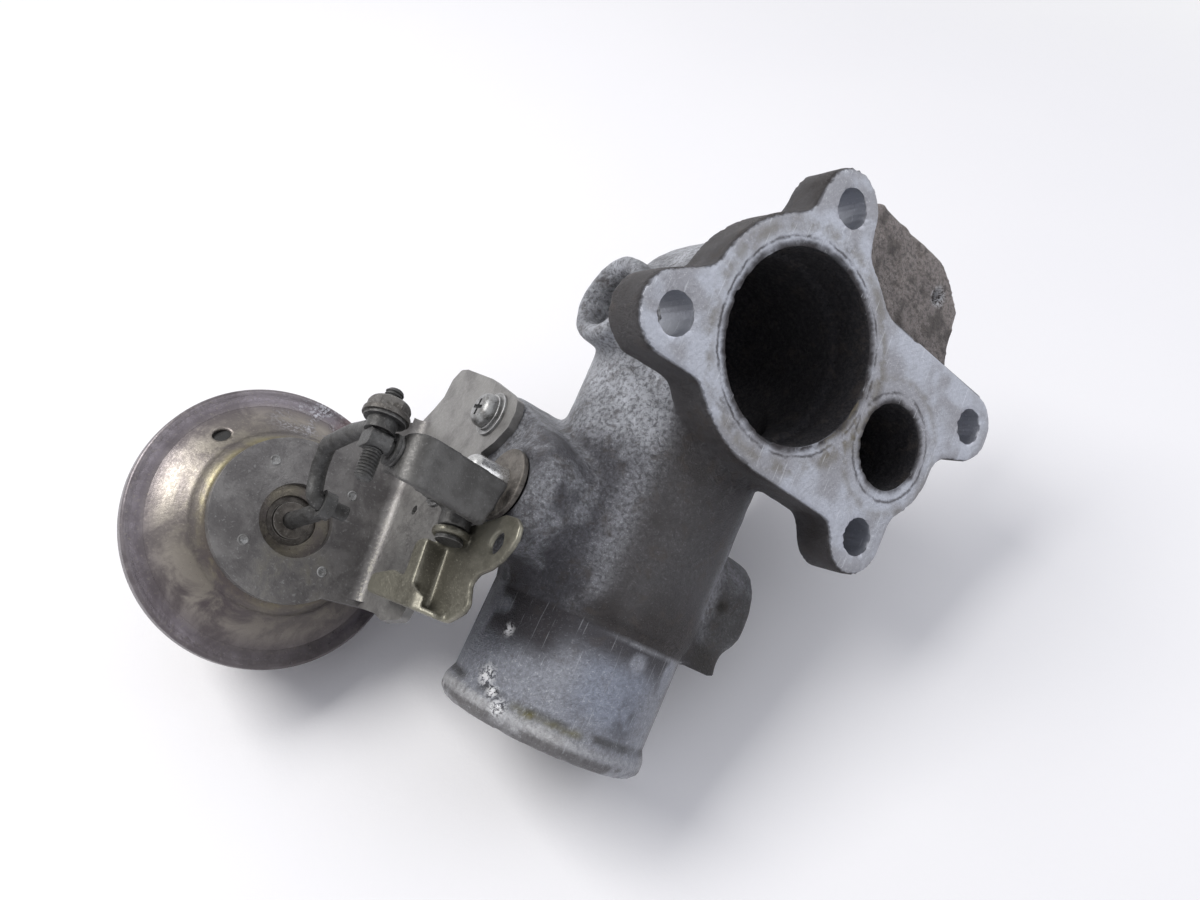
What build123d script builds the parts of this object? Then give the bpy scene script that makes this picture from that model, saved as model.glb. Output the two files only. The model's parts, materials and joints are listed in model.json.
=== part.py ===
from build123d import *
import math
import os

# EGR valve with a vacuum actuator. Millimetres.
# Row frame: the origin is the centre of the main bore on the flange face. +Z points out of
# the flange face, the inlet tube runs along -Y, and the actuator stands off towards -X.
# Linkage frame: the origin is the centre of the can's rim. Its z axis is the actuator rod,
# its y axis is the lever's pivot direction, and its x axis is the row's X.

# ---- Mounting flange (places are x, y on the flange face) ----
BORE_R = 26.0
FLANGE_T = 14.0
RING_R = 34.8
LOBE_R = 10.8
BOLT_R = 5.5
BOLT_LEFT = (-39.8, -13.4)
BOLT_TOP = (-2.7, 40.8)
BOLT_RIGHT = (73.8, 14.4)
BOLT_BOTTOM = (45.7, -34.5)
PORT_AT = (44.8, -6.9)
PORT_R = 12.6
PORT_RING_R = 20.5
OUTLINE_FILLET = 7.0

# ---- Elbow, inlet tube and spigot ----
TUBE_Z = -38.5
ELBOW_R = 30.5
TUBE_R = 29.0
TUBE_BORE_R = 24.5
BODY_END_Y = -86.0
SPIGOT_R = 28.0
SPIGOT_END_Y = -119.5
BEAD_R = 29.4
BEAD_W = 5.0

# ---- Valve: stem axis along X, machined pad facing the actuator ----
STEM_Y = -64.0
STEM_Z = -36.5
PAD_X = -40.0
STEM_R = 3.25
STEM_END_R = 4.0
STEM_BOSS_R = 13.0
STEM_BOSS_X = -42.4
HEAD_R = 10.5
SEAT_R = 12.5
SEAT_BORE_R = 8.5
SEAT_X = 21.5
SEAT_T = 5.5
FAR_BOSS_R = 12.5
FAR_BOSS_X = 43.0
PLUG_R = 9.5
PLUG_T = 6.0

# ---- Gas passage from the small port to the valve seat, behind the tube ----
PASSAGE_WALL = 3.0
PASSAGE_BACK_Z = -62.0
DOWN_R = 9.5
FEED_R = 8.0
FEED_X = 34.4

# ---- Actuator and linkage (linkage frame: x, b, a) ----
TILT = 17.0
ACTUATOR_AT = (-69.8, -100.2, -109.1)
RIM_R = 42.0
CUP_TOP_A = 15.4
CUP_TOP_R = 25.0
CAN_DEPTH = 30.0
SHEET = 1.2
PLATE_T = 2.5
PLATE_R = 24.0
ROD_R = 2.5
ROD_EYE_A = 38.0
ROD_EYE_B = 1.5
HOOK_R = 2.25
PIVOT_X = 21.36
PIVOT_A = 72.0
PIVOT_R = 2.5
LEVER_ARM = 33.1
REST_ANGLE = 20.0
PIN_OFFSET = 0.9
RUNNING = 0.05
CLEAR = 0.3

SIN_T = math.sin(math.radians(TILT))
COS_T = math.cos(math.radians(TILT))
LINK = Plane(origin=ACTUATOR_AT, x_dir=(1, 0, 0), z_dir=(0, SIN_T, COS_T)).location
PAD_LX = PAD_X - ACTUATOR_AT[0]
STUD_X = PIVOT_X - LEVER_ARM * math.cos(math.radians(REST_ANGLE))
STUD_A = PIVOT_A + LEVER_ARM * math.sin(math.radians(REST_ANGLE))
STEM_A = (STEM_Z - ACTUATOR_AT[2]) * COS_T + (STEM_Y - ACTUATOR_AT[1]) * SIN_T
STEM_B = (STEM_Y - ACTUATOR_AT[1]) * COS_T - (STEM_Z - ACTUATOR_AT[2]) * SIN_T
STEM_PIN_X = PIVOT_X + PIN_OFFSET
PIN_ANGLE = math.degrees(math.atan2(PIN_OFFSET, STEM_A - PIVOT_A))

X_AXIS = (1, 0, 0)
Y_AXIS = (0, 1, 0)
Z_AXIS = (0, 0, 1)


def bar(start, axis, radius, length):
    """Solid cylinder that starts at a point and runs along an axis."""
    base = Plane(origin=start, z_dir=axis).location
    return base * Pos(0, 0, length / 2) * Cylinder(radius, length)


def ring(start, axis, outer_r, inner_r, length):
    """Tube that starts at a point and runs along an axis."""
    return bar(start, axis, outer_r, length) - bar(start, axis, inner_r, length)


def slab_x(sketch, x0, x1):
    """Extrude a sketch drawn in (y, z) from x0 to x1."""
    return Plane.YZ.location * Pos(0, 0, x0) * extrude(sketch, x1 - x0)


def slab_y(sketch, y0, y1):
    """Extrude a sketch drawn in (x, z) from y0 to y1."""
    return Rot(90, 0, 0) * Pos(0, 0, -y1) * extrude(sketch, y1 - y0)


def slab_z(sketch, z0, z1):
    """Extrude a sketch drawn in (x, y) from z0 to z1."""
    return Pos(0, 0, z0) * extrude(sketch, z1 - z0)


def disc(at, radius):
    return Pos(*at) * Circle(radius)


def tangent_web(at_a, r_a, at_b, r_b):
    """Outline of two discs joined by their outer tangents."""
    return make_hull((disc(at_a, r_a) + disc(at_b, r_b)).edges())


def smooth_outline(sketch, radius):
    """Fill the inside corners of an outline with arcs, then round the outside corners."""
    grown = offset(sketch, radius, kind=Kind.ARC)
    return offset(grown, -radius, kind=Kind.ARC)


def row_yz(a, b):
    """Row (y, z) of a linkage point (b, a)."""
    y = ACTUATOR_AT[1] + a * SIN_T + b * COS_T
    z = ACTUATOR_AT[2] + a * COS_T - b * SIN_T
    return (y, z)


def save(name, shape):
    shape.label = name
    export_step(shape, "parts/" + name + ".step")


# =====================================================================================
# Valve body
# =====================================================================================

SCREW_1 = (62.0, 38.5)
SCREW_2 = (45.0, 19.0)
SCREW_R = 2.5
SCREW_DEPTH = 12.0
EAR_X = -38.0
EAR_Y = -4.0
EAR_Z = -41.0
EAR_R = 13.5
EAR_BORE_R = 8.0
LUG_TOP_Z = -23.0
LUG_DIMPLE = (31.0, -67.0)
BACK_LUG_HOLE = (54.6, 49.5)
GUIDE_R = 6.0
SEAL_R = 8.0
SEAL_POCKET = 5.0


def flange_outline():
    shape = disc((0, 0), RING_R) + disc(PORT_AT, PORT_RING_R)
    shape += tangent_web((0, 0), 22.0, BOLT_LEFT, LOBE_R)
    shape += tangent_web((0, 0), 18.0, BOLT_TOP, LOBE_R)
    shape += tangent_web((0, 0), 24.0, BOLT_RIGHT, LOBE_R)
    shape += tangent_web(PORT_AT, 12.0, BOLT_BOTTOM, LOBE_R)
    shape += Pos(17, -20) * Rectangle(34, 30)
    return smooth_outline(shape, OUTLINE_FILLET)


def back_lug_outline():
    corners = [(-6, 24), (4, 50), (19, 60), (52, 60.5), (66.5, 51), (68, 38), (76, 18), (40, 6)]
    return offset(make_face(Polyline(*corners, close=True)), 0.01, kind=Kind.ARC)


def body_outside():
    flange = slab_z(flange_outline(), -FLANGE_T, 0)
    lug = slab_z(back_lug_outline(), -FLANGE_T - 12, -FLANGE_T + 1)
    barrel = bar((0, 0, TUBE_Z), Z_AXIS, ELBOW_R, -TUBE_Z - 2)
    elbow = Pos(0, 0, TUBE_Z) * Sphere(ELBOW_R)
    neck_profile = Polyline((0, 0), (ELBOW_R, 0), (TUBE_R, -24), (TUBE_R, BODY_END_Y + 3),
                            (TUBE_R - 3, BODY_END_Y), (0, BODY_END_Y), close=True)
    tube = Pos(0, 0, TUBE_Z) * revolve(make_face(neck_profile), Axis.Y)
    return flange + lug + barrel + elbow + tube


def spigot():
    bead_y = SPIGOT_END_Y + BEAD_W
    profile = Polyline((0, BODY_END_Y + 5), (SPIGOT_R, BODY_END_Y + 5), (SPIGOT_R, bead_y + 3),
                       (BEAD_R, bead_y), (BEAD_R, SPIGOT_END_Y + 2), (BEAD_R - 2, SPIGOT_END_Y),
                       (0, SPIGOT_END_Y), close=True)
    return Pos(0, 0, TUBE_Z) * revolve(make_face(profile), Axis.Y)


def valve_block():
    """Block that carries the machined pad, the stem boss and the two screw bosses."""
    stem = disc((STEM_Y, STEM_Z), 17.0)
    screw_1 = disc(row_yz(*SCREW_1), 8.5)
    screw_2 = disc(row_yz(*SCREW_2), 9.0)
    pad = make_hull((stem + screw_1 + screw_2).edges())
    return slab_x(pad, PAD_X, -8)


def gas_passage(port_r, down_r, feed_r):
    """The passage's form at a given radius, used for the outside and for the hollow."""
    px, py = PORT_AT
    corner = (px, py, PASSAGE_BACK_Z)
    bottom = (FEED_X, STEM_Y, PASSAGE_BACK_Z)
    run = Vector(*bottom) - Vector(*corner)
    shape = bar(corner, Z_AXIS, port_r, -PASSAGE_BACK_Z)
    shape += Pos(*corner) * Sphere(port_r)
    shape += bar(corner, tuple(run), down_r, run.length)
    shape += Pos(*bottom) * Sphere(down_r)
    shape += bar(bottom, Z_AXIS, feed_r, STEM_Z - PASSAGE_BACK_Z)
    return shape


def stay_lug():
    """Lug beside the tube, with a round end and a square foot."""
    web = make_face(Polyline((18, -60), (36, -60), (38.5, -78), (38.2, -86.5), (18, -86.5), close=True))
    web = offset(offset(web + disc((33.2, -70.2), 10.3), 1.5, kind=Kind.ARC), -1.5, kind=Kind.ARC)
    return slab_z(web, LUG_TOP_Z - 17, LUG_TOP_Z)


def main_bore():
    bore = bar((0, 0, TUBE_Z), Z_AXIS, TUBE_BORE_R, -TUBE_Z)
    mouth = Pos(0, 0, -6.5) * Cylinder(BORE_R, 13.1)
    corner = Pos(0, 0, TUBE_Z) * Sphere(TUBE_BORE_R)
    inlet = bar((0, 0, TUBE_Z), (0, -1, 0), TUBE_BORE_R, -SPIGOT_END_Y)
    return bore + mouth + corner + inlet


def valve_body():
    outside = body_outside() + spigot() + valve_block() + stay_lug()
    outside += gas_passage(PORT_R + PASSAGE_WALL, DOWN_R + PASSAGE_WALL, FEED_R + PASSAGE_WALL)
    outside += bar((5, STEM_Y, STEM_Z), X_AXIS, FAR_BOSS_R, FAR_BOSS_X - 5)
    outside += bar((EAR_X, EAR_Y, EAR_Z), X_AXIS, EAR_R, 20)
    outside += bar((STEM_BOSS_X, STEM_Y, STEM_Z), X_AXIS, STEM_BOSS_R, 5)
    hollow = main_bore() + gas_passage(PORT_R, DOWN_R, FEED_R)
    hollow += bar((SEAT_X - 4, STEM_Y, STEM_Z), X_AXIS, SEAT_R, 4 + SEAT_T)
    hollow += bar((SEAT_X, STEM_Y, STEM_Z), X_AXIS, PLUG_R, FAR_BOSS_X - SEAT_X)
    hollow += bar((PAD_X, STEM_Y, STEM_Z), X_AXIS, GUIDE_R, 20)
    hollow += bar((STEM_BOSS_X, STEM_Y, STEM_Z), X_AXIS, SEAL_R, PAD_X - STEM_BOSS_X + SEAL_POCKET)
    hollow += bar((EAR_X, EAR_Y, EAR_Z), X_AXIS, EAR_BORE_R, 20)
    hollow += bar((EAR_X, EAR_Y, EAR_Z), X_AXIS, EAR_BORE_R + 2, 2)
    for at in (BOLT_LEFT, BOLT_BOTTOM):
        hollow += bar((*at, -FLANGE_T - 2), Z_AXIS, BOLT_R, FLANGE_T + 3)
    for at in (BOLT_TOP, BOLT_RIGHT):
        hollow += bar((*at, -FLANGE_T - 14), Z_AXIS, BOLT_R, FLANGE_T + 15)
    hollow += bar((*BOLT_RIGHT, -FLANGE_T - 14), Z_AXIS, 9.5, 14.5)
    for at in (SCREW_1, SCREW_2):
        hollow += bar((PAD_X, *row_yz(*at)), X_AXIS, SCREW_R, SCREW_DEPTH)
    hollow += bar((*LUG_DIMPLE, LUG_TOP_Z - 2.5), Z_AXIS, 1.9, 4)
    hollow += bar((*BACK_LUG_HOLE, -28), Z_AXIS, 2.5, 15)
    return outside - hollow


def valve_seat():
    """Hard ring, with a cone that the valve head closes on."""
    start = (SEAT_X, STEM_Y, STEM_Z)
    cone = Pos(SEAT_X + 1, STEM_Y, STEM_Z) * Rot(0, 90, 0) * Cone(SEAT_BORE_R + 2, SEAT_BORE_R, 2)
    return ring(start, X_AXIS, SEAT_R, SEAT_BORE_R, SEAT_T) - cone


def stem_guide():
    start = (PAD_X + SEAL_POCKET, STEM_Y, STEM_Z)
    return ring(start, X_AXIS, GUIDE_R, STEM_R + RUNNING, 20 - SEAL_POCKET)


def stem_seal():
    start = (STEM_BOSS_X + 1.0, STEM_Y, STEM_Z)
    return ring(start, X_AXIS, SEAL_R, STEM_R + RUNNING, PAD_X + SEAL_POCKET - STEM_BOSS_X - 1.0)


def seal_cup():
    """Pressed cap on the boss. A low collar under it holds the seal."""
    cap = ring((STEM_BOSS_X - 1.5, STEM_Y, STEM_Z), X_AXIS, 9.8, STEM_R + 0.8, 1.5)
    cap = fillet(cap.edges().filter_by(GeomType.CIRCLE).sort_by(Axis.X)[:1], 0.5)
    return cap + ring((STEM_BOSS_X, STEM_Y, STEM_Z), X_AXIS, SEAL_R, STEM_R + 0.8, 1.0)


def access_plug():
    """Screw plug with a hexagon socket, flush in the far boss."""
    start = (FAR_BOSS_X - PLUG_T, STEM_Y, STEM_Z)
    socket = Plane.YZ.location * Pos(STEM_Y, STEM_Z, FAR_BOSS_X - 4) * extrude(RegularPolygon(5, 6), 5)
    return bar(start, X_AXIS, PLUG_R, PLUG_T) - socket


# =====================================================================================
# Poppet valve
# =====================================================================================

STEM_PIN_R = 1.75
FORK_T = 2.0
FORK_TOP = 2.0
STEM_END_X = -54.5


def poppet_valve():
    """Head with a conical face, long stem, and a domed end with a pocket for the lever's fork."""
    face_x = SEAT_X - CLEAR
    profile = Polyline((STEM_END_X + 13, 0), (STEM_END_X + 13, STEM_R), (face_x - 6, STEM_R),
                       (face_x - 3, HEAD_R - 4), (face_x - 1.5, HEAD_R), (face_x, HEAD_R),
                       (face_x + 2, HEAD_R - 2), (face_x + 2, 0), close=True)
    stem = revolve(make_face(profile), Axis.X)
    end = Rot(0, 90, 0) * Pos(0, 0, STEM_END_X + 5.75) * Cylinder(STEM_END_R, 11.5)
    end = fillet(end.edges().filter_by(GeomType.CIRCLE).sort_by(Axis.X)[:1], 2.5)
    neck = bar((STEM_END_X + 10, 0, 0), X_AXIS, STEM_R, 4)
    valve = Pos(0, STEM_Y, STEM_Z) * (stem + end + neck)
    pocket = Pos(STEM_PIN_X, STEM_B, STEM_A + FORK_TOP + 0.9 - 5) * Box(9.6, FORK_T + 2 * CLEAR, 10)
    pin_hole = bar((STEM_PIN_X, STEM_B - 6, STEM_A), Y_AXIS, STEM_PIN_R, 12)
    return valve - LINK * pocket - LINK * pin_hole


def stem_pin():
    """Cross pin, flush with the domed end."""
    half = 3.4
    return LINK * bar((STEM_PIN_X, STEM_B - half, STEM_A), Y_AXIS, STEM_PIN_R, 2 * half)


# =====================================================================================
# Bracket, its screws and the pivot bracket (linkage frame)
# =====================================================================================

PLATE_A = CUP_TOP_A
FACE_LX = PAD_LX - PLATE_T
BEND_R = 4.0
TRAY_T = 1.6
TRAY_LX = FACE_LX - TRAY_T
TRAY_H = 6.6
EAR_B = -3.0
EAR_T = 2.0
CLIP_B = STEM_B + 1.6


def bracket_leg_outline():
    """The leg on the machined pad, drawn in (b, a)."""
    corners = [(-16, PLATE_A), (-18.4, 28.6), (-21.2, 36), (-21.4, 47.5), (-17.8, 49), (-17, 62),
               (-3, 65), (14, 66), (26.5, 62), (28.5, 67.5), (32, 72.5), (36.5, 74), (40.5, 73.2),
               (45.5, 66), (52.7, 54.4), (61.3, 36),
               (62.5, 31.4), (60, 27.2), (54, 25.3), (50.6, 20.8), (47.4, PLATE_A)]
    leg = make_face(Polyline(*corners, close=True))
    leg = offset(offset(leg, -2, kind=Kind.ARC), 2, kind=Kind.ARC)
    leg += Pos(15.5, PLATE_A + 3) * Rectangle(63, 6)
    return leg - disc((STEM_B, STEM_A), STEM_BOSS_R + 0.5)


def actuator_bracket():
    leg = slab_x(bracket_leg_outline(), FACE_LX, PAD_LX)
    arm = make_face(Polyline((0, -PLATE_R + 4), (PAD_LX, -16), (PAD_LX, 47), (14, 40), (0, PLATE_R - 1),
                             close=True))
    plate = slab_z(disc((0, 0), PLATE_R) + arm, PLATE_A, PLATE_A + PLATE_T)
    bend = slab_y(make_face(Polyline((FACE_LX - BEND_R, PLATE_A + PLATE_T),
                                     (FACE_LX + 0.1, PLATE_A + PLATE_T),
                                     (FACE_LX + 0.1, PLATE_A + PLATE_T + BEND_R), close=True)), -15, 46)
    curve = bar((FACE_LX - BEND_R, -20, PLATE_A + PLATE_T + BEND_R), Y_AXIS, BEND_R, 70)
    plate += bend - curve
    plate += leg
    plate -= Pos(0.6, 0, PLATE_A) * Cylinder(10.8, 10)
    for a, b in (SCREW_1, SCREW_2):
        plate -= bar((FACE_LX - 1, b, a), X_AXIS, 2.8, PLATE_T + 2)
    plate -= bar((FACE_LX - 1, 13.0, 32.6), X_AXIS, 1.5, PLATE_T + 2)
    return LINK * plate


def bracket_screws():
    """Cross-recess pan screws."""
    head = Pos(0, 0, 1.7) * Cylinder(5.0, 3.4)
    head = fillet(head.edges().filter_by(GeomType.CIRCLE).sort_by(Axis.Z)[-1:], 2.4)
    slot = Pos(0, 0, 2.7) * (Box(5.0, 1.1, 1.6) + Box(1.1, 5.0, 1.6))
    shank = Pos(0, 0, -5.8) * Cylinder(SCREW_R, 11.8)
    screw = head + shank - slot
    places = []
    for a, b in (SCREW_1, SCREW_2):
        y, z = row_yz(a, b)
        places.append(Plane(origin=(PAD_X - PLATE_T - 2.0, y, z), z_dir=(-1, 0, 0)).location)
    return Compound(children=[place * screw for place in places])


def screw_washers():
    washers = []
    for a, b in (SCREW_1, SCREW_2):
        y, z = row_yz(a, b)
        washers.append(ring((PAD_X - PLATE_T - 2.0, y, z), X_AXIS, 5.4, 2.7, 0.98))
        washers.append(ring((PAD_X - PLATE_T - 1.0, y, z), X_AXIS, 6.6, 2.7, 1.0))
    return Compound(children=washers)


def low_edge_b(a):
    """Lower edge of the pivot bracket: b at a given a."""
    return -18.6 - 0.225 * (a - 51.3)


def tray_outline():
    """Flat of the pivot bracket, drawn in (b, a)."""
    corners = [(-9.5, 36.5), (low_edge_b(36.5), 36.5), (low_edge_b(75), 75), (-22.8, 79), (-21.8, 82),
               (-19.5, 83.4), (-16.5, 82.2), (-14, 81.2), (-12, 83.4), (-11.2, 88), (-9.4, 92),
               (-6.5, 95), (-3.8, 96.4), (-0.5, 96.2), (1.8, 93.6), (3.4, 88), (3.0, 84.5), (2.7, 80),
               (2.5, 62.5), (-11.5, 62.5)]
    flat = make_face(Polyline(*corners, close=True))
    return offset(offset(flat, -1.0, kind=Kind.ARC), 1.0, kind=Kind.ARC)


def rim_outline():
    """Turned-over rim of the pivot bracket, drawn in (b, a)."""
    side = make_face(Polyline((-2.5, 57.8), (-14, 57.8), (-15.5, 64.4), (-2.5, 64.4), close=True))
    low = make_face(Polyline((-10.2, 37.5), (low_edge_b(37.5), 37.5), (low_edge_b(74), 74), (-20.6, 74),
                             (-15.3, 64.4), (-12.6, 57.8), (-10.2, 50), close=True))
    rim = offset(offset(side + low, 1.2, kind=Kind.ARC), -1.2, kind=Kind.ARC)
    return offset(offset(rim, -2.0, kind=Kind.ARC), 2.0, kind=Kind.ARC)


def ear_outline():
    """Ear that holds the pivot pin, drawn in (x, a)."""
    root_x = TRAY_LX + 0.5
    root = make_face(Polyline((PIVOT_X - 4.4, PIVOT_A - 2.4), (root_x, 60.5), (root_x, 68.5),
                              (PIVOT_X + 4.6, PIVOT_A + 2), close=True))
    return root + disc((PIVOT_X, PIVOT_A), 5.0)


def pivot_bracket():
    """Stamped tray: flat, two walls with a turned-over rim, and an ear that holds the pivot pin."""
    rim_x = TRAY_LX - TRAY_H
    flat = slab_x(tray_outline(), TRAY_LX, FACE_LX)
    t = TRAY_T
    low_edge = make_face(Polyline((low_edge_b(39) + t, 39), (low_edge_b(39), 39), (low_edge_b(74), 74),
                                  (low_edge_b(74) + t, 74), close=True))
    low_wall = slab_x(low_edge, rim_x, FACE_LX)
    side_wall = slab_x(Pos(-12, 63.6) * Rectangle(18, t), rim_x, FACE_LX)
    rim = slab_x(rim_outline(), rim_x, rim_x + t)
    ear = slab_y(ear_outline(), EAR_B, EAR_B + EAR_T)
    tray = flat + low_wall + side_wall + rim + ear
    ramp = Polyline((rim_x - 1, 66), (rim_x - 1, 90), (TRAY_LX, 90), (TRAY_LX, 79), close=True)
    tray -= slab_y(make_face(ramp), -30, -15)
    tray -= bar((PIVOT_X, EAR_B - 1, PIVOT_A), Y_AXIS, PIVOT_R, 4)
    tray -= bar((TRAY_LX - 1, -4.1, 87.6), X_AXIS, 2.8, 4)
    return LINK * tray


def pivot_pin():
    """Pin riveted into the tray's ear, with a groove for its clip at the free end."""
    pin = bar((PIVOT_X, EAR_B - 0.8, PIVOT_A), Y_AXIS, PIVOT_R, CLIP_B + 2.0 - EAR_B)
    rivet = bar((PIVOT_X, EAR_B - 1.2, PIVOT_A), Y_AXIS, 3.7, 1.15)
    groove = ring((PIVOT_X, CLIP_B, PIVOT_A), Y_AXIS, 3.0, 1.9, 0.6)
    return LINK * (pin + rivet - groove)


def pivot_clip():
    """E-clip in the groove of the pivot pin."""
    clip = ring((PIVOT_X, CLIP_B + 0.05, PIVOT_A), Y_AXIS, 3.8, 1.9, 0.5)
    gap = Pos(PIVOT_X, CLIP_B + 0.3, PIVOT_A - 3.5) * Box(3.0, 2.0, 5.0)
    return LINK * (clip - gap)


# =====================================================================================
# Vacuum actuator (linkage frame)
# =====================================================================================

CUP_BASE_R = 37.5
CAN_BACK_R = 31.0


def actuator_cup():
    """Rod-side half: rim flange, drawn flank and flat top, with a drain hole."""
    top = CUP_TOP_A
    outer = Polyline((0, 0.9), (RIM_R - 1.4, 0.9), (RIM_R - 1.4, 2.1), (CUP_BASE_R, 2.1), (31, 8.5),
                     (CUP_TOP_R + 1.0, top - 1.6), (CUP_TOP_R - 0.6, top), (0, top), close=True)
    inner = Polyline((0, 0), (CUP_BASE_R - 1.4, 0), (CUP_BASE_R - 1.4, 1.2), (30, 7.6),
                     (CUP_TOP_R - 0.2, top - 2.2), (CUP_TOP_R - 1.4, top - SHEET), (0, top - SHEET),
                     close=True)
    cup = revolve(make_face(Plane.XZ * outer), Axis.Z) - revolve(make_face(Plane.XZ * inner), Axis.Z)
    cup -= Pos(0, 0, top) * Cylinder(7.2, 6)
    drain = Plane(origin=(-26.5, 17.5, 8.0), z_dir=(-0.6, 0.4, 0.7)).location * Cylinder(2.6, 14)
    return LINK * (cup - drain)


def vacuum_can():
    """Rear half, with the rim rolled over the flange of the cup."""
    back = -CAN_DEPTH
    outer = Polyline((0, back), (CAN_BACK_R - 5, back), (CAN_BACK_R, back + 2), (CAN_BACK_R + 3, back + 6),
                     (CUP_BASE_R, -2), (RIM_R, -2), (RIM_R, 3.3), (RIM_R - 4.2, 3.3),
                     (RIM_R - 4.2, 2.2), (RIM_R - SHEET, 2.2), (RIM_R - SHEET, -0.8),
                     (CUP_BASE_R - 1.4, -0.8), (CAN_BACK_R + 1.6, back + 6.6),
                     (CAN_BACK_R - 0.8, back + 3), (CAN_BACK_R - 5.4, back + SHEET), (0, back + SHEET),
                     close=True)
    can = revolve(make_face(Plane.XZ * outer), Axis.Z)
    can -= Pos(12, 0, back) * Cylinder(2.0, 6)
    return LINK * can


def vacuum_nipple():
    """Stub that leaves the back of the can, turns sideways and steps down to the hose end."""
    back = -CAN_DEPTH
    tube = bar((12, 0, back - 7), Z_AXIS, 2.0, 7 + SHEET)
    tube += Pos(12, 0, back) * Pos(0, 0, -0.5) * Cylinder(4.5, 1.0)
    tube += Pos(12, 0, back - 7) * Sphere(2.8)
    tube += bar((12, 0, back - 7), (-1, 0, 0), 2.8, 6)
    tube += bar((6, 0, back - 7), (-1, 0, 0), 2.5, 16)
    bore = bar((12, 0, back - 7), Z_AXIS, 1.2, 10) + bar((12, 0, back - 7), (-1, 0, 0), 1.2, 24)
    return LINK * (tube - bore)


def diaphragm():
    """Rubber sheet with one rolled pleat, clamped at the rim and around the rod."""
    outline = Polyline((ROD_R, 5.5), (24, 5.5), (27, 8.0), (30, 5.5), (33, -0.5), (RIM_R - 1.4, -0.5),
                       (RIM_R - 1.4, 0.7), (34, 0.7), (31, 6.5), (27, 9.6), (23.4, 7.0),
                       (ROD_R, 7.0), close=True)
    return LINK * revolve(make_face(Plane.XZ * outline), Axis.Z)


def front_plate():
    outline = Polyline((ROD_R, 7.0), (20, 7.0), (20, 8.2), (8, 8.2), (8, 9.4), (ROD_R, 9.4), close=True)
    return LINK * revolve(make_face(Plane.XZ * outline), Axis.Z)


def spring_plate():
    """Cup that keeps the end of the spring in the middle."""
    outline = Polyline((ROD_R, 5.5), (21, 5.5), (21, 4.3), (13, 4.3), (13, 2.0), (11.8, 2.0),
                       (11.8, 4.3), (ROD_R, 4.3), close=True)
    return LINK * revolve(make_face(Plane.XZ * outline), Axis.Z)


def rod_nut():
    nut = Pos(0, 0, 2.5) * extrude(RegularPolygon(5.6, 6), 1.8)
    return LINK * (nut - Pos(0, 0, 3) * Cylinder(ROD_R, 6))


def diaphragm_spring():
    """Compression spring between the can and the spring plate."""
    low = -CAN_DEPTH + SHEET + 1.0
    high = 4.3 - 1.0
    turns = 5
    path = Helix(pitch=(high - low) / turns, height=high - low, radius=15.5)
    wire = Plane(origin=path @ 0, z_dir=path % 0) * Circle(0.95)
    coil = sweep(wire, path=path)
    return LINK * Pos(0, 0, low) * coil


def rod_guide():
    """Bush in the top of the cup."""
    top = CUP_TOP_A
    bush = ring((0, 0, top - 4.5), Z_AXIS, 5.4, ROD_R + RUNNING, 4.7)
    bush += ring((0, 0, top - SHEET - 1.4), Z_AXIS, 9.5, ROD_R + RUNNING, 1.4)
    return LINK * bush


def actuator_rod():
    """Rod with a small crank under its flattened eye."""
    low = EYE_LOW_A
    path = FilletPolyline((0, 0, 1.0), (0, 0, low), (0, ROD_EYE_B, ROD_EYE_A - 2.6), radius=2.0)
    rod = sweep(Plane(origin=path @ 0, z_dir=path % 0) * Circle(ROD_R), path=path)
    eye = bar((-1.6, ROD_EYE_B, ROD_EYE_A), X_AXIS, 3.9, 3.2)
    return LINK * (rod + eye - bar((-6, ROD_EYE_B, ROD_EYE_A), X_AXIS, HOOK_R + CLEAR, 12))


# =====================================================================================
# Hook rod, adjusting stud and swivel (linkage frame)
# =====================================================================================

EYE_LOW_A = 33.0
SWIVEL_B = 6.6
SWIVEL_TOP = 8.7
HOOK_END_B = 10.4
WASHER_B = 12.0
WASHER_T = 0.8
STUD_R = 2.25


def hook_rod():
    """Bent rod: foot through the rod's eye, a swept shank, and a flattened end round the stud."""
    path = FilletPolyline((6.2, ROD_EYE_B, ROD_EYE_A), (-3.8, ROD_EYE_B, ROD_EYE_A), (-5.8, 10.2, 38.6),
                          (-9.2, 13.4, 49.5), (-10.0, 12.7, 67), (STUD_X - 0.3, HOOK_END_B, STUD_A + 0.5),
                          radius=[3.0, 6.0, 12.0, 20.0])
    rod = sweep(Plane(origin=path @ 0, z_dir=path % 0) * Circle(HOOK_R), path=path)
    rod += bar((STUD_X - 0.3, SWIVEL_TOP + CLEAR, STUD_A), Y_AXIS, 3.6, WASHER_B - SWIVEL_TOP - CLEAR)
    rod -= bar((STUD_X, WASHER_B, STUD_A), Y_AXIS, 6.4, 4)
    rod -= bar((STUD_X, SWIVEL_TOP + CLEAR - 4, STUD_A), Y_AXIS, 6.4, 4)
    return LINK * (rod - bar((STUD_X, SWIVEL_TOP - 4, STUD_A), Y_AXIS, STUD_R, 12))


def adjusting_stud():
    stud = bar((STUD_X, -3.1, STUD_A), Y_AXIS, STUD_R, 23.4)
    ends = stud.edges().filter_by(GeomType.CIRCLE)
    return LINK * chamfer(ends, 0.6)


def stud_washer():
    return LINK * ring((STUD_X, WASHER_B, STUD_A), Y_AXIS, 5.1, STUD_R, WASHER_T)


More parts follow.
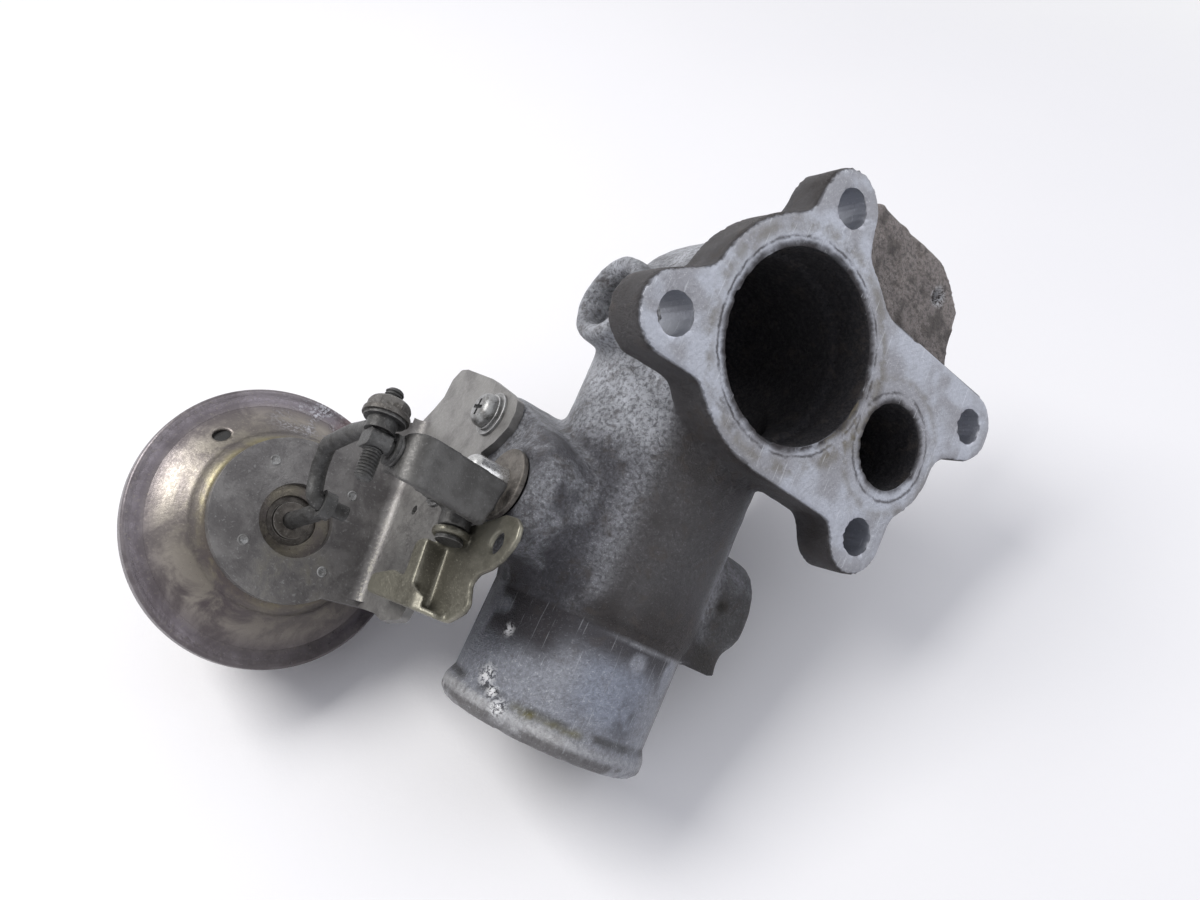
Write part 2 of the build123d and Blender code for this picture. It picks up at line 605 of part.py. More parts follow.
def stud_nut():
    """Hexagon nut with a wide flange and a domed top."""
    face = Plane(origin=(STUD_X, WASHER_B + WASHER_T, STUD_A), x_dir=X_AXIS, z_dir=Y_AXIS).location
    dome = Pos(0, 0, 2.3) * Cylinder(5.3, 4.6)
    dome = fillet(dome.edges().filter_by(GeomType.CIRCLE).sort_by(Axis.Z)[-1:], 2.2)
    hexagon = extrude(Rot(0, 0, -20) * RegularPolygon(5.2, 6), 4.6) & dome
    flange = Pos(0, 0, 0.75) * Cylinder(5.7, 1.5)
    flange = fillet(flange.edges().filter_by(GeomType.CIRCLE).sort_by(Axis.Z)[-1:], 0.6)
    return LINK * (face * (hexagon + flange - Cylinder(STUD_R, 20)))


def swivel():
    """Block with a cross hole for the stud, a shoulder, and a shank through the lever's end wall."""
    bottom = 4.4
    block = Pos(STUD_X - 0.2, (bottom + SWIVEL_TOP) / 2, STUD_A) * Box(5.6, SWIVEL_TOP - bottom, 6.0)
    block = fillet(block.edges().filter_by(Axis.X), 1.3)
    shoulder = bar((STUD_X + 2.6, SWIVEL_B, STUD_A), X_AXIS, 2.1, 1.1)
    shoulder += bar((STUD_X + 3.65, SWIVEL_B, STUD_A), X_AXIS, 4.0, 0.9)
    shank = bar((STUD_X + 4.5, SWIVEL_B, STUD_A), X_AXIS, 2.8, 4.4)
    head = block + shoulder + shank
    return LINK * (head - bar((STUD_X, -2, STUD_A), Y_AXIS, STUD_R + RUNNING, 20))


def swivel_clip():
    """Collar between the swivel's shoulder and the lever."""
    return LINK * ring((STUD_X + 4.55, SWIVEL_B, STUD_A), X_AXIS, 3.9, 2.8, 0.9)


# =====================================================================================
# Lever (linkage frame)
# =====================================================================================

STRAP_T = 2.5
STRAP_B0 = -2.0
STRAP_B1 = 11.2
SLEEVE_R = 4.2
BRACE_B = 3.4
BRACE_T = 2.2
WALL_X = STUD_X + 5.45


def lever_strap():
    """Bent strip: web with a slanted end, corner, and a tapered end wall for the swivel."""
    wall = WALL_X + STRAP_T / 2
    centre = FilletPolyline((PIVOT_X + 3.0, 86.2), (wall, 91.0), (wall, STUD_A - 6.0), radius=4.0)
    line = Plane.XZ * centre
    start = Plane(origin=line @ 0, z_dir=line % 0, x_dir=(0, 1, 0))
    profile = start * Rectangle(STRAP_B1 - STRAP_B0, STRAP_T)
    strap = Pos(0, (STRAP_B0 + STRAP_B1) / 2, 0) * sweep(profile, path=line, transition=Transition.ROUND)
    end = Polyline((PIVOT_X + 3.5, STRAP_B1), (PIVOT_X - 0.8, STRAP_B0 - 0.1), (PIVOT_X + 9, STRAP_B0 - 0.1),
                   close=True)
    taper = Polyline((STRAP_B0 - 0.1, 91), (2.6, STUD_A - 4.0), (2.6, STUD_A - 7),
                     (STRAP_B0 - 0.1, STUD_A - 7), close=True)
    strap -= slab_z(make_face(end), 80, 95)
    return strap - slab_x(make_face(taper), wall - 4, wall + 3.5)


def fork_outline():
    """Fork between the pivot and the stem pin, open at its top, drawn in (x, a)."""
    reach = (STEM_A - PIVOT_A) / math.cos(math.radians(PIN_ANGLE))
    finger = Pos(0, reach / 2) * Rectangle(2 * STEM_PIN_R + 2.6, reach) + disc((0, 0), 4.5)
    finger += Pos(0, reach + FORK_TOP / 2) * Rectangle(2 * STEM_PIN_R + 2.6, FORK_TOP)
    slot = Pos(0, reach + 2) * Rectangle(2 * STEM_PIN_R + 0.2, 4.1) + disc((0, reach), STEM_PIN_R + 0.1)
    return Pos(PIVOT_X, PIVOT_A) * Rot(0, 0, -PIN_ANGLE) * (finger - slot)


def lever():
    fork = slab_y(fork_outline(), STEM_B - FORK_T / 2, STEM_B + FORK_T / 2)
    brace = make_face(Polyline((PIVOT_X - 9, PIVOT_A + 1), (PIVOT_X, PIVOT_A - 3), (PIVOT_X + 3.5, PIVOT_A),
                               (PIVOT_X + 2.6, 85.6), (PIVOT_X - 14, 88), close=True))
    brace = slab_y(brace, BRACE_B, BRACE_B + BRACE_T)
    sleeve_b = EAR_B + EAR_T + CLEAR
    sleeve = bar((PIVOT_X, sleeve_b, PIVOT_A), Y_AXIS, SLEEVE_R, 9.0 - sleeve_b)
    sleeve += bar((PIVOT_X, 8, PIVOT_A), Y_AXIS, 3.6, CLIP_B - CLEAR - 8)
    arm = lever_strap() + brace + fork + sleeve
    arm -= bar((PIVOT_X, -8, PIVOT_A), Y_AXIS, PIVOT_R + RUNNING, 40)
    arm -= bar((WALL_X - 3, SWIVEL_B, STUD_A), X_AXIS, 2.8, 8)
    return LINK * arm


# =====================================================================================
# Write one file per piece
# =====================================================================================

PIECES = {
    "valve_body": valve_body, "valve_seat": valve_seat, "stem_guide": stem_guide,
    "stem_seal": stem_seal, "seal_cup": seal_cup, "access_plug": access_plug,
    "poppet_valve": poppet_valve, "stem_pin": stem_pin,
    "actuator_bracket": actuator_bracket, "bracket_screws": bracket_screws,
    "screw_washers": screw_washers, "pivot_bracket": pivot_bracket,
    "pivot_pin": pivot_pin, "pivot_clip": pivot_clip,
    "actuator_cup": actuator_cup, "vacuum_can": vacuum_can, "vacuum_nipple": vacuum_nipple,
    "diaphragm": diaphragm, "front_plate": front_plate, "spring_plate": spring_plate,
    "rod_nut": rod_nut, "diaphragm_spring": diaphragm_spring, "rod_guide": rod_guide,
    "actuator_rod": actuator_rod, "hook_rod": hook_rod, "adjusting_stud": adjusting_stud,
    "stud_washer": stud_washer, "stud_nut": stud_nut, "swivel": swivel,
    "swivel_clip": swivel_clip, "lever": lever,
}

os.makedirs("parts", exist_ok=True)
for piece_name, make_piece in PIECES.items():
    save(piece_name, make_piece())
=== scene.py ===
# %% [markdown]
# # An exhaust gas valve with a vacuum actuator
# The exact solids come from the imported model: each one is a fixed frame for its looks.
# First the frame is loaded.

# %% Load the frame
import json
import math

import bmesh
import bpy
import numpy as np
from mathutils import Matrix, Vector


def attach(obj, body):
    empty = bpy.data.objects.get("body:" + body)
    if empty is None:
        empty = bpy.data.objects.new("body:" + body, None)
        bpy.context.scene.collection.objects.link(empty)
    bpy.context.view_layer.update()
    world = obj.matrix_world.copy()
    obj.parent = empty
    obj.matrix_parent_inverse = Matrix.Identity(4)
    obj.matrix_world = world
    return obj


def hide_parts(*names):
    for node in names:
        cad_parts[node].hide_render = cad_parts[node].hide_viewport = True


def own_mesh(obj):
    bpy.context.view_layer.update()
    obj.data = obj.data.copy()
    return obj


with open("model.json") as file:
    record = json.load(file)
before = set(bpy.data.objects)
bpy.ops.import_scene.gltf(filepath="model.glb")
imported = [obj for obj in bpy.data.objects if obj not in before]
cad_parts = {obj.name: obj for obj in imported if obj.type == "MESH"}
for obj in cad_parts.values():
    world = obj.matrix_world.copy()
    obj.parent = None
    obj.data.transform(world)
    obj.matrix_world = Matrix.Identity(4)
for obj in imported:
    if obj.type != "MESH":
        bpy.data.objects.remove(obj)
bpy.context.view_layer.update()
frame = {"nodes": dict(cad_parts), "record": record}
nodes = frame["nodes"]
MM = 0.001

# %% [markdown]
# ## Camera
# The camera looks down on the valve from the actuator's side. Its three axes are written as
# vectors, because a turn matrix is easier to read than three angles. The lens is 27 mm on a
# 36 mm wide sensor, as on a small camera held near the object.

# %% Camera
CAMERA_RIGHT = Vector((0.7334, 0.4111, 0.5415))
CAMERA_UP = Vector((-0.4380, 0.8948, -0.0861))
CAMERA_BACK = Vector((-0.5199, -0.1740, 0.8363))
CAMERA_AT = Vector((-148.3, -86.0, 169.0)) * MM

camera_data = bpy.data.cameras.new("camera")
camera_data.lens = 26.952
camera_data.sensor_width = 36.0
camera_data.clip_start = 0.005
camera = bpy.data.objects.new("camera", camera_data)
turn = Matrix((CAMERA_RIGHT, CAMERA_UP, CAMERA_BACK)).transposed().to_4x4()
camera.matrix_world = Matrix.Translation(CAMERA_AT) @ turn
bpy.context.scene.collection.objects.link(camera)
bpy.context.scene.camera = camera
bpy.context.scene.view_settings.view_transform = "Standard"
print("camera at", tuple(round(v, 4) for v in CAMERA_AT))

# %% [markdown]
# ## Helpers for materials
# A procedural material is a small tree of nodes. `add` makes a node, sets its options and
# fills its inputs, each with a number, a colour or another node's output. The helpers after
# it are the words of this lesson: `grain` is a noise with a size in millimetres, `step`
# turns a value into a soft mask, `blend` mixes two colours, `combine` is arithmetic,
# `product` multiplies, and `near_point` marks a round place.

# %% Helpers for materials
def add(tree, kind, inputs=(), **options):
    """Adds a node, sets its options, and fills its inputs from a {name or number: value} table."""
    node = tree.nodes.new("ShaderNode" + kind)
    for key, value in options.items():
        setattr(node, key, value)
    for key, value in dict(inputs).items():
        if isinstance(value, bpy.types.NodeSocket):
            tree.links.new(value, node.inputs[key])
        else:
            node.inputs[key].default_value = value
    return node


def grain(tree, where, size, detail=3.0, rough=0.6, warp=0.0):
    """Noise whose main lumps are size millimetres wide."""
    values = {"Vector": where, "Scale": 1000.0 / size, "Detail": detail, "Roughness": rough,
              "Distortion": warp}
    return add(tree, "TexNoise", values).outputs["Fac"]


def step(tree, value, low, high, start=0.0, end=1.0):
    """Soft ramp from start to end as value goes from low to high."""
    values = {"Value": value, "From Min": low, "From Max": high, "To Min": start, "To Max": end}
    return add(tree, "MapRange", values, interpolation_type="SMOOTHSTEP").outputs["Result"]


def blend(tree, factor, first, second):
    """The first colour where factor is 0, the second where it is 1."""
    return add(tree, "Mix", {0: factor, 6: first, 7: second}, data_type="RGBA").outputs[2]


def combine(tree, operation, first, second=0.5):
    """One step of arithmetic, with the Math node's own word for it."""
    return add(tree, "Math", {0: first, 1: second}, operation=operation).outputs[0]


def product(tree, first, *others):
    """The first value times each of the others."""
    for other in others:
        first = combine(tree, "MULTIPLY", first, other)
    return first


def how_far(tree, point, centre):
    """Distance from a point to a centre, both in metres."""
    values = {0: point, 1: tuple(centre)}
    return add(tree, "VectorMath", values, operation="DISTANCE").outputs["Value"]


def near_point(tree, point, centre, low, high):
    """1 within low millimetres of a centre, 0 beyond high."""
    far = how_far(tree, point, [c * MM for c in centre])
    return step(tree, far, low * MM, high * MM, 1.0, 0.0)


def grey(value, warm=0.0):
    """A nearly neutral linear colour; warm above 0 is browner, below 0 is bluer."""
    return (value * (1 + warm), value, value * (1 - warm), 1.0)


def begin(name):
    """New material, its node tree, its shader, and Object coordinates."""
    material = bpy.data.materials.new(name)
    material.use_nodes = True
    tree = material.node_tree
    return material, tree, tree.nodes["Principled BSDF"], add(tree, "TexCoord").outputs["Object"]


def relief(tree, shader, height, depth, strength=1.0):
    """Sends a height, as deep as depth millimetres, to the shader's normal."""
    bump = add(tree, "Bump", {"Height": height, "Distance": depth * MM, "Strength": strength})
    tree.links.new(bump.outputs["Normal"], shader.inputs["Normal"])


# %% [markdown]
# ## Light, background and floor
# The real valve lies on a white board in soft daylight that comes over its far left side.
# One large area lamp gives that side its light, and the world fills the shadows. The world
# is white only where the camera or a reflection looks at it. The floor is a tilted disc
# under the three points that the valve rests on: it's seen from above only, and it fades
# out at its edge, so that views from below aren't blocked.

# %% Lamp and world
FLOOR_UP = Vector((-0.690, 0.443, 0.572)).normalized()
FLOOR_OFFSET = -100.9 * MM
MIDDLE = Vector((-15.0, -45.0, -55.0)) * MM
WHITE = (1, 1, 1, 1)
SHADOW_FILL = (0.45, 0.455, 0.49, 1)
WHITE_IN_GLOSS = 0.85

world = bpy.data.worlds.new("daylight")
world.use_nodes = True
bpy.context.scene.world = world
sky = world.node_tree
path = add(sky, "LightPath")
in_gloss = product(sky, path.outputs["Is Glossy Ray"], WHITE_IN_GLOSS)
seen = combine(sky, "MAXIMUM", path.outputs["Is Camera Ray"], in_gloss)
fill = blend(sky, seen, SHADOW_FILL, WHITE)
sky.links.new(fill, sky.nodes["Background"].inputs["Color"])


def lamp(name, sideways, upwards, towards, distance, size, watts, colour):
    """Square lamp in a direction given in the camera's own axes, aimed at the valve's middle."""
    way = (CAMERA_RIGHT * sideways + CAMERA_UP * upwards + CAMERA_BACK * towards).normalized()
    data = bpy.data.lights.new(name, "AREA")
    data.size = size
    data.energy = watts
    data.color = colour
    light = bpy.data.objects.new(name, data)
    aim = way.to_track_quat("Z", "Y").to_matrix().to_4x4()
    light.matrix_world = Matrix.Translation(MIDDLE + way * distance) @ aim
    bpy.context.scene.collection.objects.link(light)


lamp("window", -0.62, 0.70, 0.55, 1.0, 0.50, 7.0, (1.0, 0.985, 0.96))
lamp("far_glow", 0.75, 0.35, 0.35, 1.1, 0.7, 2.4, (0.93, 0.95, 1.0))
print("lamps and world ready")

# %% Floor
FADE_FROM, FADE_TO = 0.38, 0.85
RIM_POINTS = 64
floor_centre = MIDDLE + FLOOR_UP * (FLOOR_OFFSET - MIDDLE.dot(FLOOR_UP))

board, tree, shader, here = begin("white_board")
edge = step(tree, how_far(tree, here, floor_centre), FADE_FROM, FADE_TO, 1.0, 0.0)
above = combine(tree, "SUBTRACT", 1.0, add(tree, "NewGeometry").outputs["Backfacing"])
tree.links.new(product(tree, edge, above), shader.inputs["Alpha"])
cloud = grain(tree, here, 160, 2.0)
paper = blend(tree, cloud, (0.95, 0.945, 0.965, 1), (0.985, 0.98, 0.99, 1))
tree.links.new(paper, shader.inputs["Base Color"])
shader.inputs["Roughness"].default_value = 0.6
relief(tree, shader, grain(tree, here, 2.5, 2.0), 0.05)

floor_mesh = bpy.data.meshes.new("floor")
floor_side = FLOOR_UP.orthogonal().normalized()
floor_front = FLOOR_UP.cross(floor_side)
angles = np.linspace(0, 2 * np.pi, RIM_POINTS, endpoint=False)
rim = [floor_centre + floor_side * math.cos(t) + floor_front * math.sin(t) for t in angles]
floor_mesh.from_pydata(rim, [], [list(range(RIM_POINTS))])
floor_mesh.materials.append(board)
floor = bpy.data.objects.new("floor", floor_mesh)
bpy.context.scene.collection.objects.link(floor)
print("floor faces", tuple(round(v, 3) for v in floor_mesh.polygons[0].normal))

# %% [markdown]
# ## Helpers for shapes
# A new piece is a surface worked out with numpy: a grid of points that has its rows along
# one parameter and its columns along the other. `grid_faces` joins such a grid into quads,
# and `make_piece` makes the mesh. `rounded` softens the corners of a profile, and `turned`
# carries a closed profile round an axis, as a lathe does. The actuator and the linkage have
# their own axes, a little tilted, so `linkage` moves points from there into the row frame.

# %% Helpers for shapes
TILT = math.radians(17.0)
ACTUATOR_AT = np.array((-69.8, -100.2, -109.1))
LINK_AXES = np.array(((1, 0, 0),
                      (0, math.cos(TILT), -math.sin(TILT)),
                      (0, math.sin(TILT), math.cos(TILT))))


def linkage(points):
    """Points in the linkage's axes (x, b, a) to the row frame, in millimetres."""
    return ACTUATOR_AT + np.asarray(points, float) @ LINK_AXES


def linkage_at(x, b, a):
    """Function that takes points round (x, b, a) of the linkage's axes to the row frame."""
    return lambda points: linkage(points + np.array((x, b, a)))


def make_piece(name, points, faces, material, sharp=35.0):
    """Mesh object at the origin from points in millimetres. Its faces are turned outwards."""
    mesh = bpy.data.meshes.new(name)
    mesh.from_pydata(np.asarray(points) * MM, [], [tuple(f) for f in faces])
    work = bmesh.new()
    work.from_mesh(mesh)
    bmesh.ops.recalc_face_normals(work, faces=work.faces)
    work.to_mesh(mesh)
    work.free()
    mesh.polygons.foreach_set("use_smooth", np.ones(len(mesh.polygons), bool))
    mesh.set_sharp_from_angle(angle=math.radians(sharp))
    mesh.materials.append(material)
    piece = bpy.data.objects.new(name, mesh)
    bpy.context.scene.collection.objects.link(piece)
    return piece


def grid_faces(rows, columns, rows_closed):
    """Quads of a grid whose columns close round; rows_closed joins the last row to the first."""
    first_rows = np.arange(rows if rows_closed else rows - 1)
    i, j = np.meshgrid(first_rows, np.arange(columns), indexing="ij")
    k, m = (i + 1) % rows, (j + 1) % columns
    quads = np.stack((i * columns + j, i * columns + m, k * columns + m, k * columns + j), -1)
    return quads.reshape(-1, 4)


def rounded(corners, radius, steps=5):
    """Closed profile with each corner replaced by a parabola from one side to the next."""
    corner = np.asarray(corners, float)
    before, after = np.roll(corner, 1, 0) - corner, np.roll(corner, -1, 0) - corner
    size_b, size_a = np.linalg.norm(before, axis=1), np.linalg.norm(after, axis=1)
    reach = np.minimum(np.broadcast_to(radius, size_b.shape), 0.48 * np.minimum(size_b, size_a))
    start = corner + before * (reach / size_b)[:, None]
    end = corner + after * (reach / size_a)[:, None]
    t = np.linspace(0, 1, steps)[None, :, None]
    arc = (1 - t) ** 2 * start[:, None] + 2 * t * (1 - t) * corner[:, None] + t ** 2 * end[:, None]
    return arc.reshape(-1, 2)


def turned(name, profile, material, place, columns=96, sharp=35.0):
    """Lathe surface: point = (r cos t, r sin t, a) for the profile's (r, a), then placed."""
    t = np.linspace(0, 2 * np.pi, columns, endpoint=False)
    r, a = profile[:, 0, None], profile[:, 1, None]
    points = np.stack((r * np.cos(t), r * np.sin(t), a + 0 * t), -1).reshape(-1, 3)
    faces = grid_faces(len(profile), columns, True)
    return make_piece(name, place(points), faces, material, sharp)


def stand_for(piece, body, slot, *replaced):
    """The piece rides on a body and stands for CAD nodes. The slot argument is not used."""
    if replaced:
        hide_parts(*replaced)
    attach(piece, body)
    print(piece.name, len(piece.data.polygons), "faces on", body)
    return piece


def body_of(node):
    """The body that a CAD node belongs to."""
    bodies = frame["record"]["behaviour"]["bodies"]
    return next(body for body, members in bodies.items() if node in members)


HASH_WAY, HASH_GAIN = np.array((127.1, 311.7, 74.7)), 43758.5453


def value_noise(points, size, seed=0.0):
    """Smooth noise from 0 to 1: lattice values, blended with t*t*(3-2t) along each axis."""
    q = points / size + seed
    base = np.floor(q)
    t = q - base
    t = t * t * (3 - 2 * t)
    total = np.zeros(len(points))
    for corner in np.ndindex(2, 2, 2):
        c = np.array(corner)
        cell = np.sin((base + c) @ HASH_WAY) * HASH_GAIN
        total += (cell - np.floor(cell)) * np.prod(np.where(c == 1, t, 1 - t), axis=1)
    return total


def ease(value, low, high):
    """0 below low, 1 above high, and a smooth S between them."""
    t = np.clip((value - low) / (high - low), 0, 1)
    return t * t * (3 - 2 * t)


def band(value, middle, outer, inner):
    """1 within inner of the middle, 0 beyond outer."""
    return ease(-abs(value - middle), -outer, -inner)


print("helpers for shapes ready")

# %% [markdown]
# ## The casting
# The body is sand-cast aluminium: where two walls meet there is a soft fillet, and every
# cast face is a little lumpy, while the flange face, the bores and the spigot are cut true.
# The exact solid has sharp joints everywhere. So a copy of it is cut into even small cells
# (a voxel remesh), which is then relaxed: each point moves towards the mean of its
# neighbours, and that fills inside corners and rounds outside ones. Afterwards the machined
# faces are put back: a Shrinkwrap modifier moves their points to the nearest place on the
# exact solid, and the walls of the holes are set on their radius.

# %% Even mesh of the casting
BORE_R, TUBE_BORE_R, TUBE_Z = 26.0, 24.5, -38.5
PORT_AT, PORT_R = (44.8, -6.9), 12.6
BOLTS, BOLT_R = ((-39.8, -13.4, -14), (-2.7, 40.8, -26), (73.8, 14.4, -13.5), (45.7, -34.5, -14)), 5.5
CAST_CELL = 1.12


def copy_of_node(name, node):
    """New object with a merged copy of a CAD node's mesh."""
    mesh = nodes[node].data.copy()
    mesh.name = name
    mesh.materials.clear()
    work = bmesh.new()
    work.from_mesh(mesh)
    bmesh.ops.remove_doubles(work, verts=work.verts, dist=2e-6)
    work.to_mesh(mesh)
    work.free()
    piece = bpy.data.objects.new(name, mesh)
    bpy.context.scene.collection.objects.link(piece)
    return piece


def apply_modifiers(piece):
    """Bakes the modifiers into the mesh."""
    bpy.context.view_layer.update()
    ready = piece.evaluated_get(bpy.context.evaluated_depsgraph_get())
    done = bpy.data.meshes.new_from_object(ready)
    piece.modifiers.clear()
    piece.data = done


def cut_into_cells(piece, cell):
    """Makes the mesh anew from even quads about cell millimetres wide."""
    cells = piece.modifiers.new("cells", "REMESH")
    cells.mode = "VOXEL"
    cells.voxel_size = cell * MM
    apply_modifiers(piece)


def read_points(piece):
    """Places of a mesh's points in millimetres, as one array."""
    values = np.empty(len(piece.data.vertices) * 3, np.float32)
    piece.data.vertices.foreach_get("co", values)
    return values.reshape(-1, 3).astype(float) / MM


def write_points(piece, points):
    """Puts places in millimetres back into the mesh."""
    piece.data.vertices.foreach_set("co", (points * MM).astype(np.float32).ravel())


def read_edges(piece):
    """The two point numbers of each edge."""
    values = np.empty(len(piece.data.edges) * 2, np.int32)
    piece.data.edges.foreach_get("vertices", values)
    return values.reshape(-1, 2)


def shade_smooth(piece):
    """Smooth shading on every face."""
    piece.data.polygons.foreach_set("use_smooth", np.ones(len(piece.data.polygons), bool))


casting = copy_of_node("casting", "valve_body")
cut_into_cells(casting, CAST_CELL)
cast_points, cast_edges = read_points(casting), read_edges(casting)
count = len(cast_points)
print("casting", count, "points", len(casting.data.polygons), "quads")

# %% Relax the cast faces
FACE_DEPTH, FLANGE_BACK, SPIGOT_FROM, SPIGOT_EDGE = -0.55, -13.2, -86.6, -84.6
MARGIN, MOUTH_EDGE, ELBOW_BORE_R, TUBE_WALL_R = 0.6, -0.3, 27.4, 25.5
CAST_ROUNDS, CUT_ROUNDS, BORDER_ROUNDS, CORNER_MOVE = 14, 5, 2, 0.3


def relax(points, edges, weight, rounds):
    """Each round moves a point by weight/2 of the way to the mean of its neighbours."""
    at, beside = np.concatenate((edges, edges[:, ::-1])).T
    number = np.bincount(at, minlength=len(points))[:, None]
    for _ in range(rounds):
        total = np.stack([np.bincount(at, points[beside, k], len(points)) for k in range(3)], 1)
        points = points + 0.5 * weight[:, None] * (total / number - points)
    return points


def off_axis(points, centre, along):
    """Distance of each point from a line along axis number `along`, through centre."""
    across = [k for k in range(3) if k != along]
    return np.hypot(points[:, across[0]] - centre[0], points[:, across[1]] - centre[1])


raw = cast_points.copy()
x, y, z = raw.T
off_bore, off_port = off_axis(raw, (0, 0), 2), off_axis(raw, PORT_AT, 2)
off_tube = off_axis(raw, (0, TUBE_Z), 1)
in_bore = (off_bore < BORE_R + MARGIN) & (z > TUBE_Z) & (z < MOUTH_EDGE)
in_tube = (off_tube < TUBE_BORE_R + MARGIN) & (y < 3)
in_tube |= np.linalg.norm(raw - (0, 0, TUBE_Z), axis=1) < ELBOW_BORE_R
in_port = (off_port < PORT_R + MARGIN) & (z < MOUTH_EDGE)
on_face = z > FACE_DEPTH
on_spigot = (y < SPIGOT_FROM) & (off_tube > TUBE_WALL_R)
in_bolt = np.zeros(count, bool)
for bolt_x, bolt_y, bolt_z in BOLTS:
    in_bolt |= (off_axis(raw, (bolt_x, bolt_y), 2) < BOLT_R + MARGIN) & (z > bolt_z - MARGIN)
flange_rim = (z > FLANGE_BACK) & ~(in_bore | in_port | in_bolt)
spigot_end = (y < SPIGOT_EDGE) & (off_tube > TUBE_WALL_R)
cut_true = flange_rim | spigot_end | in_bolt | in_bore | in_tube | in_port
everywhere = np.ones(count)
cast_share = np.where(cut_true, 0.0, 1.0)[:, None].repeat(3, 1)
soft = relax(cast_share, cast_edges, everywhere, BORDER_ROUNDS)[:, 0] * ~cut_true
cast_points = relax(cast_points, cast_edges, soft, CAST_ROUNDS)
evened = relax(raw, cast_edges, everywhere, CUT_ROUNDS)
cast_points = np.where(cut_true[:, None], evened, cast_points)
corner = np.linalg.norm(evened - raw, axis=1) > CORNER_MOVE
mean_move = np.linalg.norm(cast_points - raw, axis=1).mean()
print("relaxed; mean move", round(float(mean_move), 3), "mm")

# %% Put back the machined faces
WALL_REACH = 0.95


def seat_on(piece, node, mask):
    """Moves the chosen points to the nearest place on the exact surface of a CAD node."""
    exact = copy_of_node("exact_form", node)
    group = piece.vertex_groups.new(name="true_faces")
    group.add(np.nonzero(mask)[0].tolist(), 1.0, "REPLACE")
    wrap = piece.modifiers.new("wrap", "SHRINKWRAP")
    wrap.target = exact
    wrap.vertex_group = group.name
    apply_modifiers(piece)
    piece.vertex_groups.clear()
    bpy.data.objects.remove(exact)


write_points(casting, cast_points)
seat_on(casting, "valve_body", cut_true & ~corner)
cast_points = read_points(casting)
HOLES = [(*bolt, BOLT_R) for bolt in BOLTS] + [(0, 0, -12, BORE_R), (*PORT_AT, -12, PORT_R)]
for hole_x, hole_y, hole_z, radius in HOLES:
    spoke = cast_points[:, :2] - (hole_x, hole_y)
    far = np.linalg.norm(spoke, axis=1)
    wall = (abs(far - radius) < WALL_REACH) & (z > hole_z - 0.3)
    cast_points[wall, :2] = (hole_x, hole_y) + spoke[wall] * (radius / far[wall])[:, None]
write_points(casting, cast_points)
casting.data.update()
print("machined faces put back, with", len(HOLES), "round holes")

# %% Lumps of the sand mould
cast_normals = np.empty(count * 3, np.float32)
casting.data.vertices.foreach_get("normal", cast_normals)
cast_normals = cast_normals.reshape(-1, 3).astype(float)
crusty = in_bore | in_tube | in_port
rough_cast = ~(crusty | on_face | in_bolt | spigot_end)
faces_up = cast_normals[:, 2] > 0.5
rear_lug = (z < -12.4) & (z > -27) & (y > 8) & (x > -8) & ((z < -13.6) | faces_up)
lumps = 0.42 * (value_noise(raw, 9.0) - 0.5) + 0.26 * (value_noise(raw, 3.1, 5.0) - 0.5)
crust_depth = 0.55 * (value_noise(raw, 1.9, 9.0) - 0.15)
height = np.where(rough_cast, lumps * (1 + 1.8 * rear_lug), 0.0)
height += np.where(crusty & (z > -13) & (z < -0.9), crust_depth, 0.0)
cast_points = cast_points + cast_normals * (height * ease(-z, 0.8, 2.4))[:, None]
exact_box = np.array([corner_point[:] for corner_point in nodes["valve_body"].bound_box]) / MM
cast_points = np.clip(cast_points, exact_box.min(0) + 0.01, exact_box.max(0))
write_points(casting, cast_points)
shade_smooth(casting)
casting.data.set_sharp_from_angle(angle=math.radians(42))
print("lumps up to", round(float(height.max()), 2), "mm high")

# %% [markdown]
# ## Paint for the casting
# Thirty years of oil and soot aren't even: the flange's side and the rear lug are brown and black, the
# tube is clean on its upper flank, the bores are crusted, and the face and the spigot are bright where
# a gasket and a hose covered them. Some coats are painted light and shade instead: painted shade on
# the tube's side turned from the lamp, in the hollow and on the valve block; painted highlights on the
# tube's right side, the spigot's right flank and the bead; and the rear lug's crust painted lighter
# against the flange's shadow. Each of those is a mask from a formula in the point's own place. They
# are stored on the mesh as one colour and two numbers, and the material adds everything finer than a
# millimetre.

# %% Places for the paint
def layer(colour, over, amount):
    """Lays a flat colour over the colours so far, by an amount for each point."""
    amount = np.clip(amount, 0, 1)[:, None]
    return colour * (1 - amount) + np.array(over) * amount


big, middling = value_noise(raw, 23.0, 3.0), value_noise(raw, 7.0, 11.0)
small = value_noise(raw, 2.6, 17.0)
mottle = 0.45 * big + 0.35 * middling + 0.2 * small
fine_mix = 0.5 * middling + 0.5 * small
turn_round = np.degrees(np.arctan2(x, z - TUBE_Z))
flange_side = ease(z, -19, -12) * (z < -0.4) * ~crusty
# Painted shade: the tube's side turned from the window lamp is darkened, in mottled patches.
painted_shade_side = ease(turn_round, -22, 10) * ease(y, -90, -70) * ease(-z, 6, 20)
# Painted highlight: a lighter band, in patches, on the tube's right side, where the far lamp's light
# falls.
right_edge = ease(turn_round, 40, 62) * ease(-turn_round, -120, -90) * ease(y, -90, -84)
skirt = ease(y, -92, -84) * ease(-y, 68, 80) * ease(middling, 0.22, 0.5)
# Painted shade in the hollow: a mottled bluish dark patch round one point.
hollow = ease(-np.linalg.norm(raw - (-28.2, -59.1, -31.8), axis=1), -10.5, -6.5)
# Oil and painted shade: the valve block is darkened for its oil and for the shade on the boss's flank.
block = ease(-x, 14, 24) * ease(-y, 36, 46)
stay = ease(x, 25, 30) * ease(-y, 58, 64) * ease(-z, 21, 24)
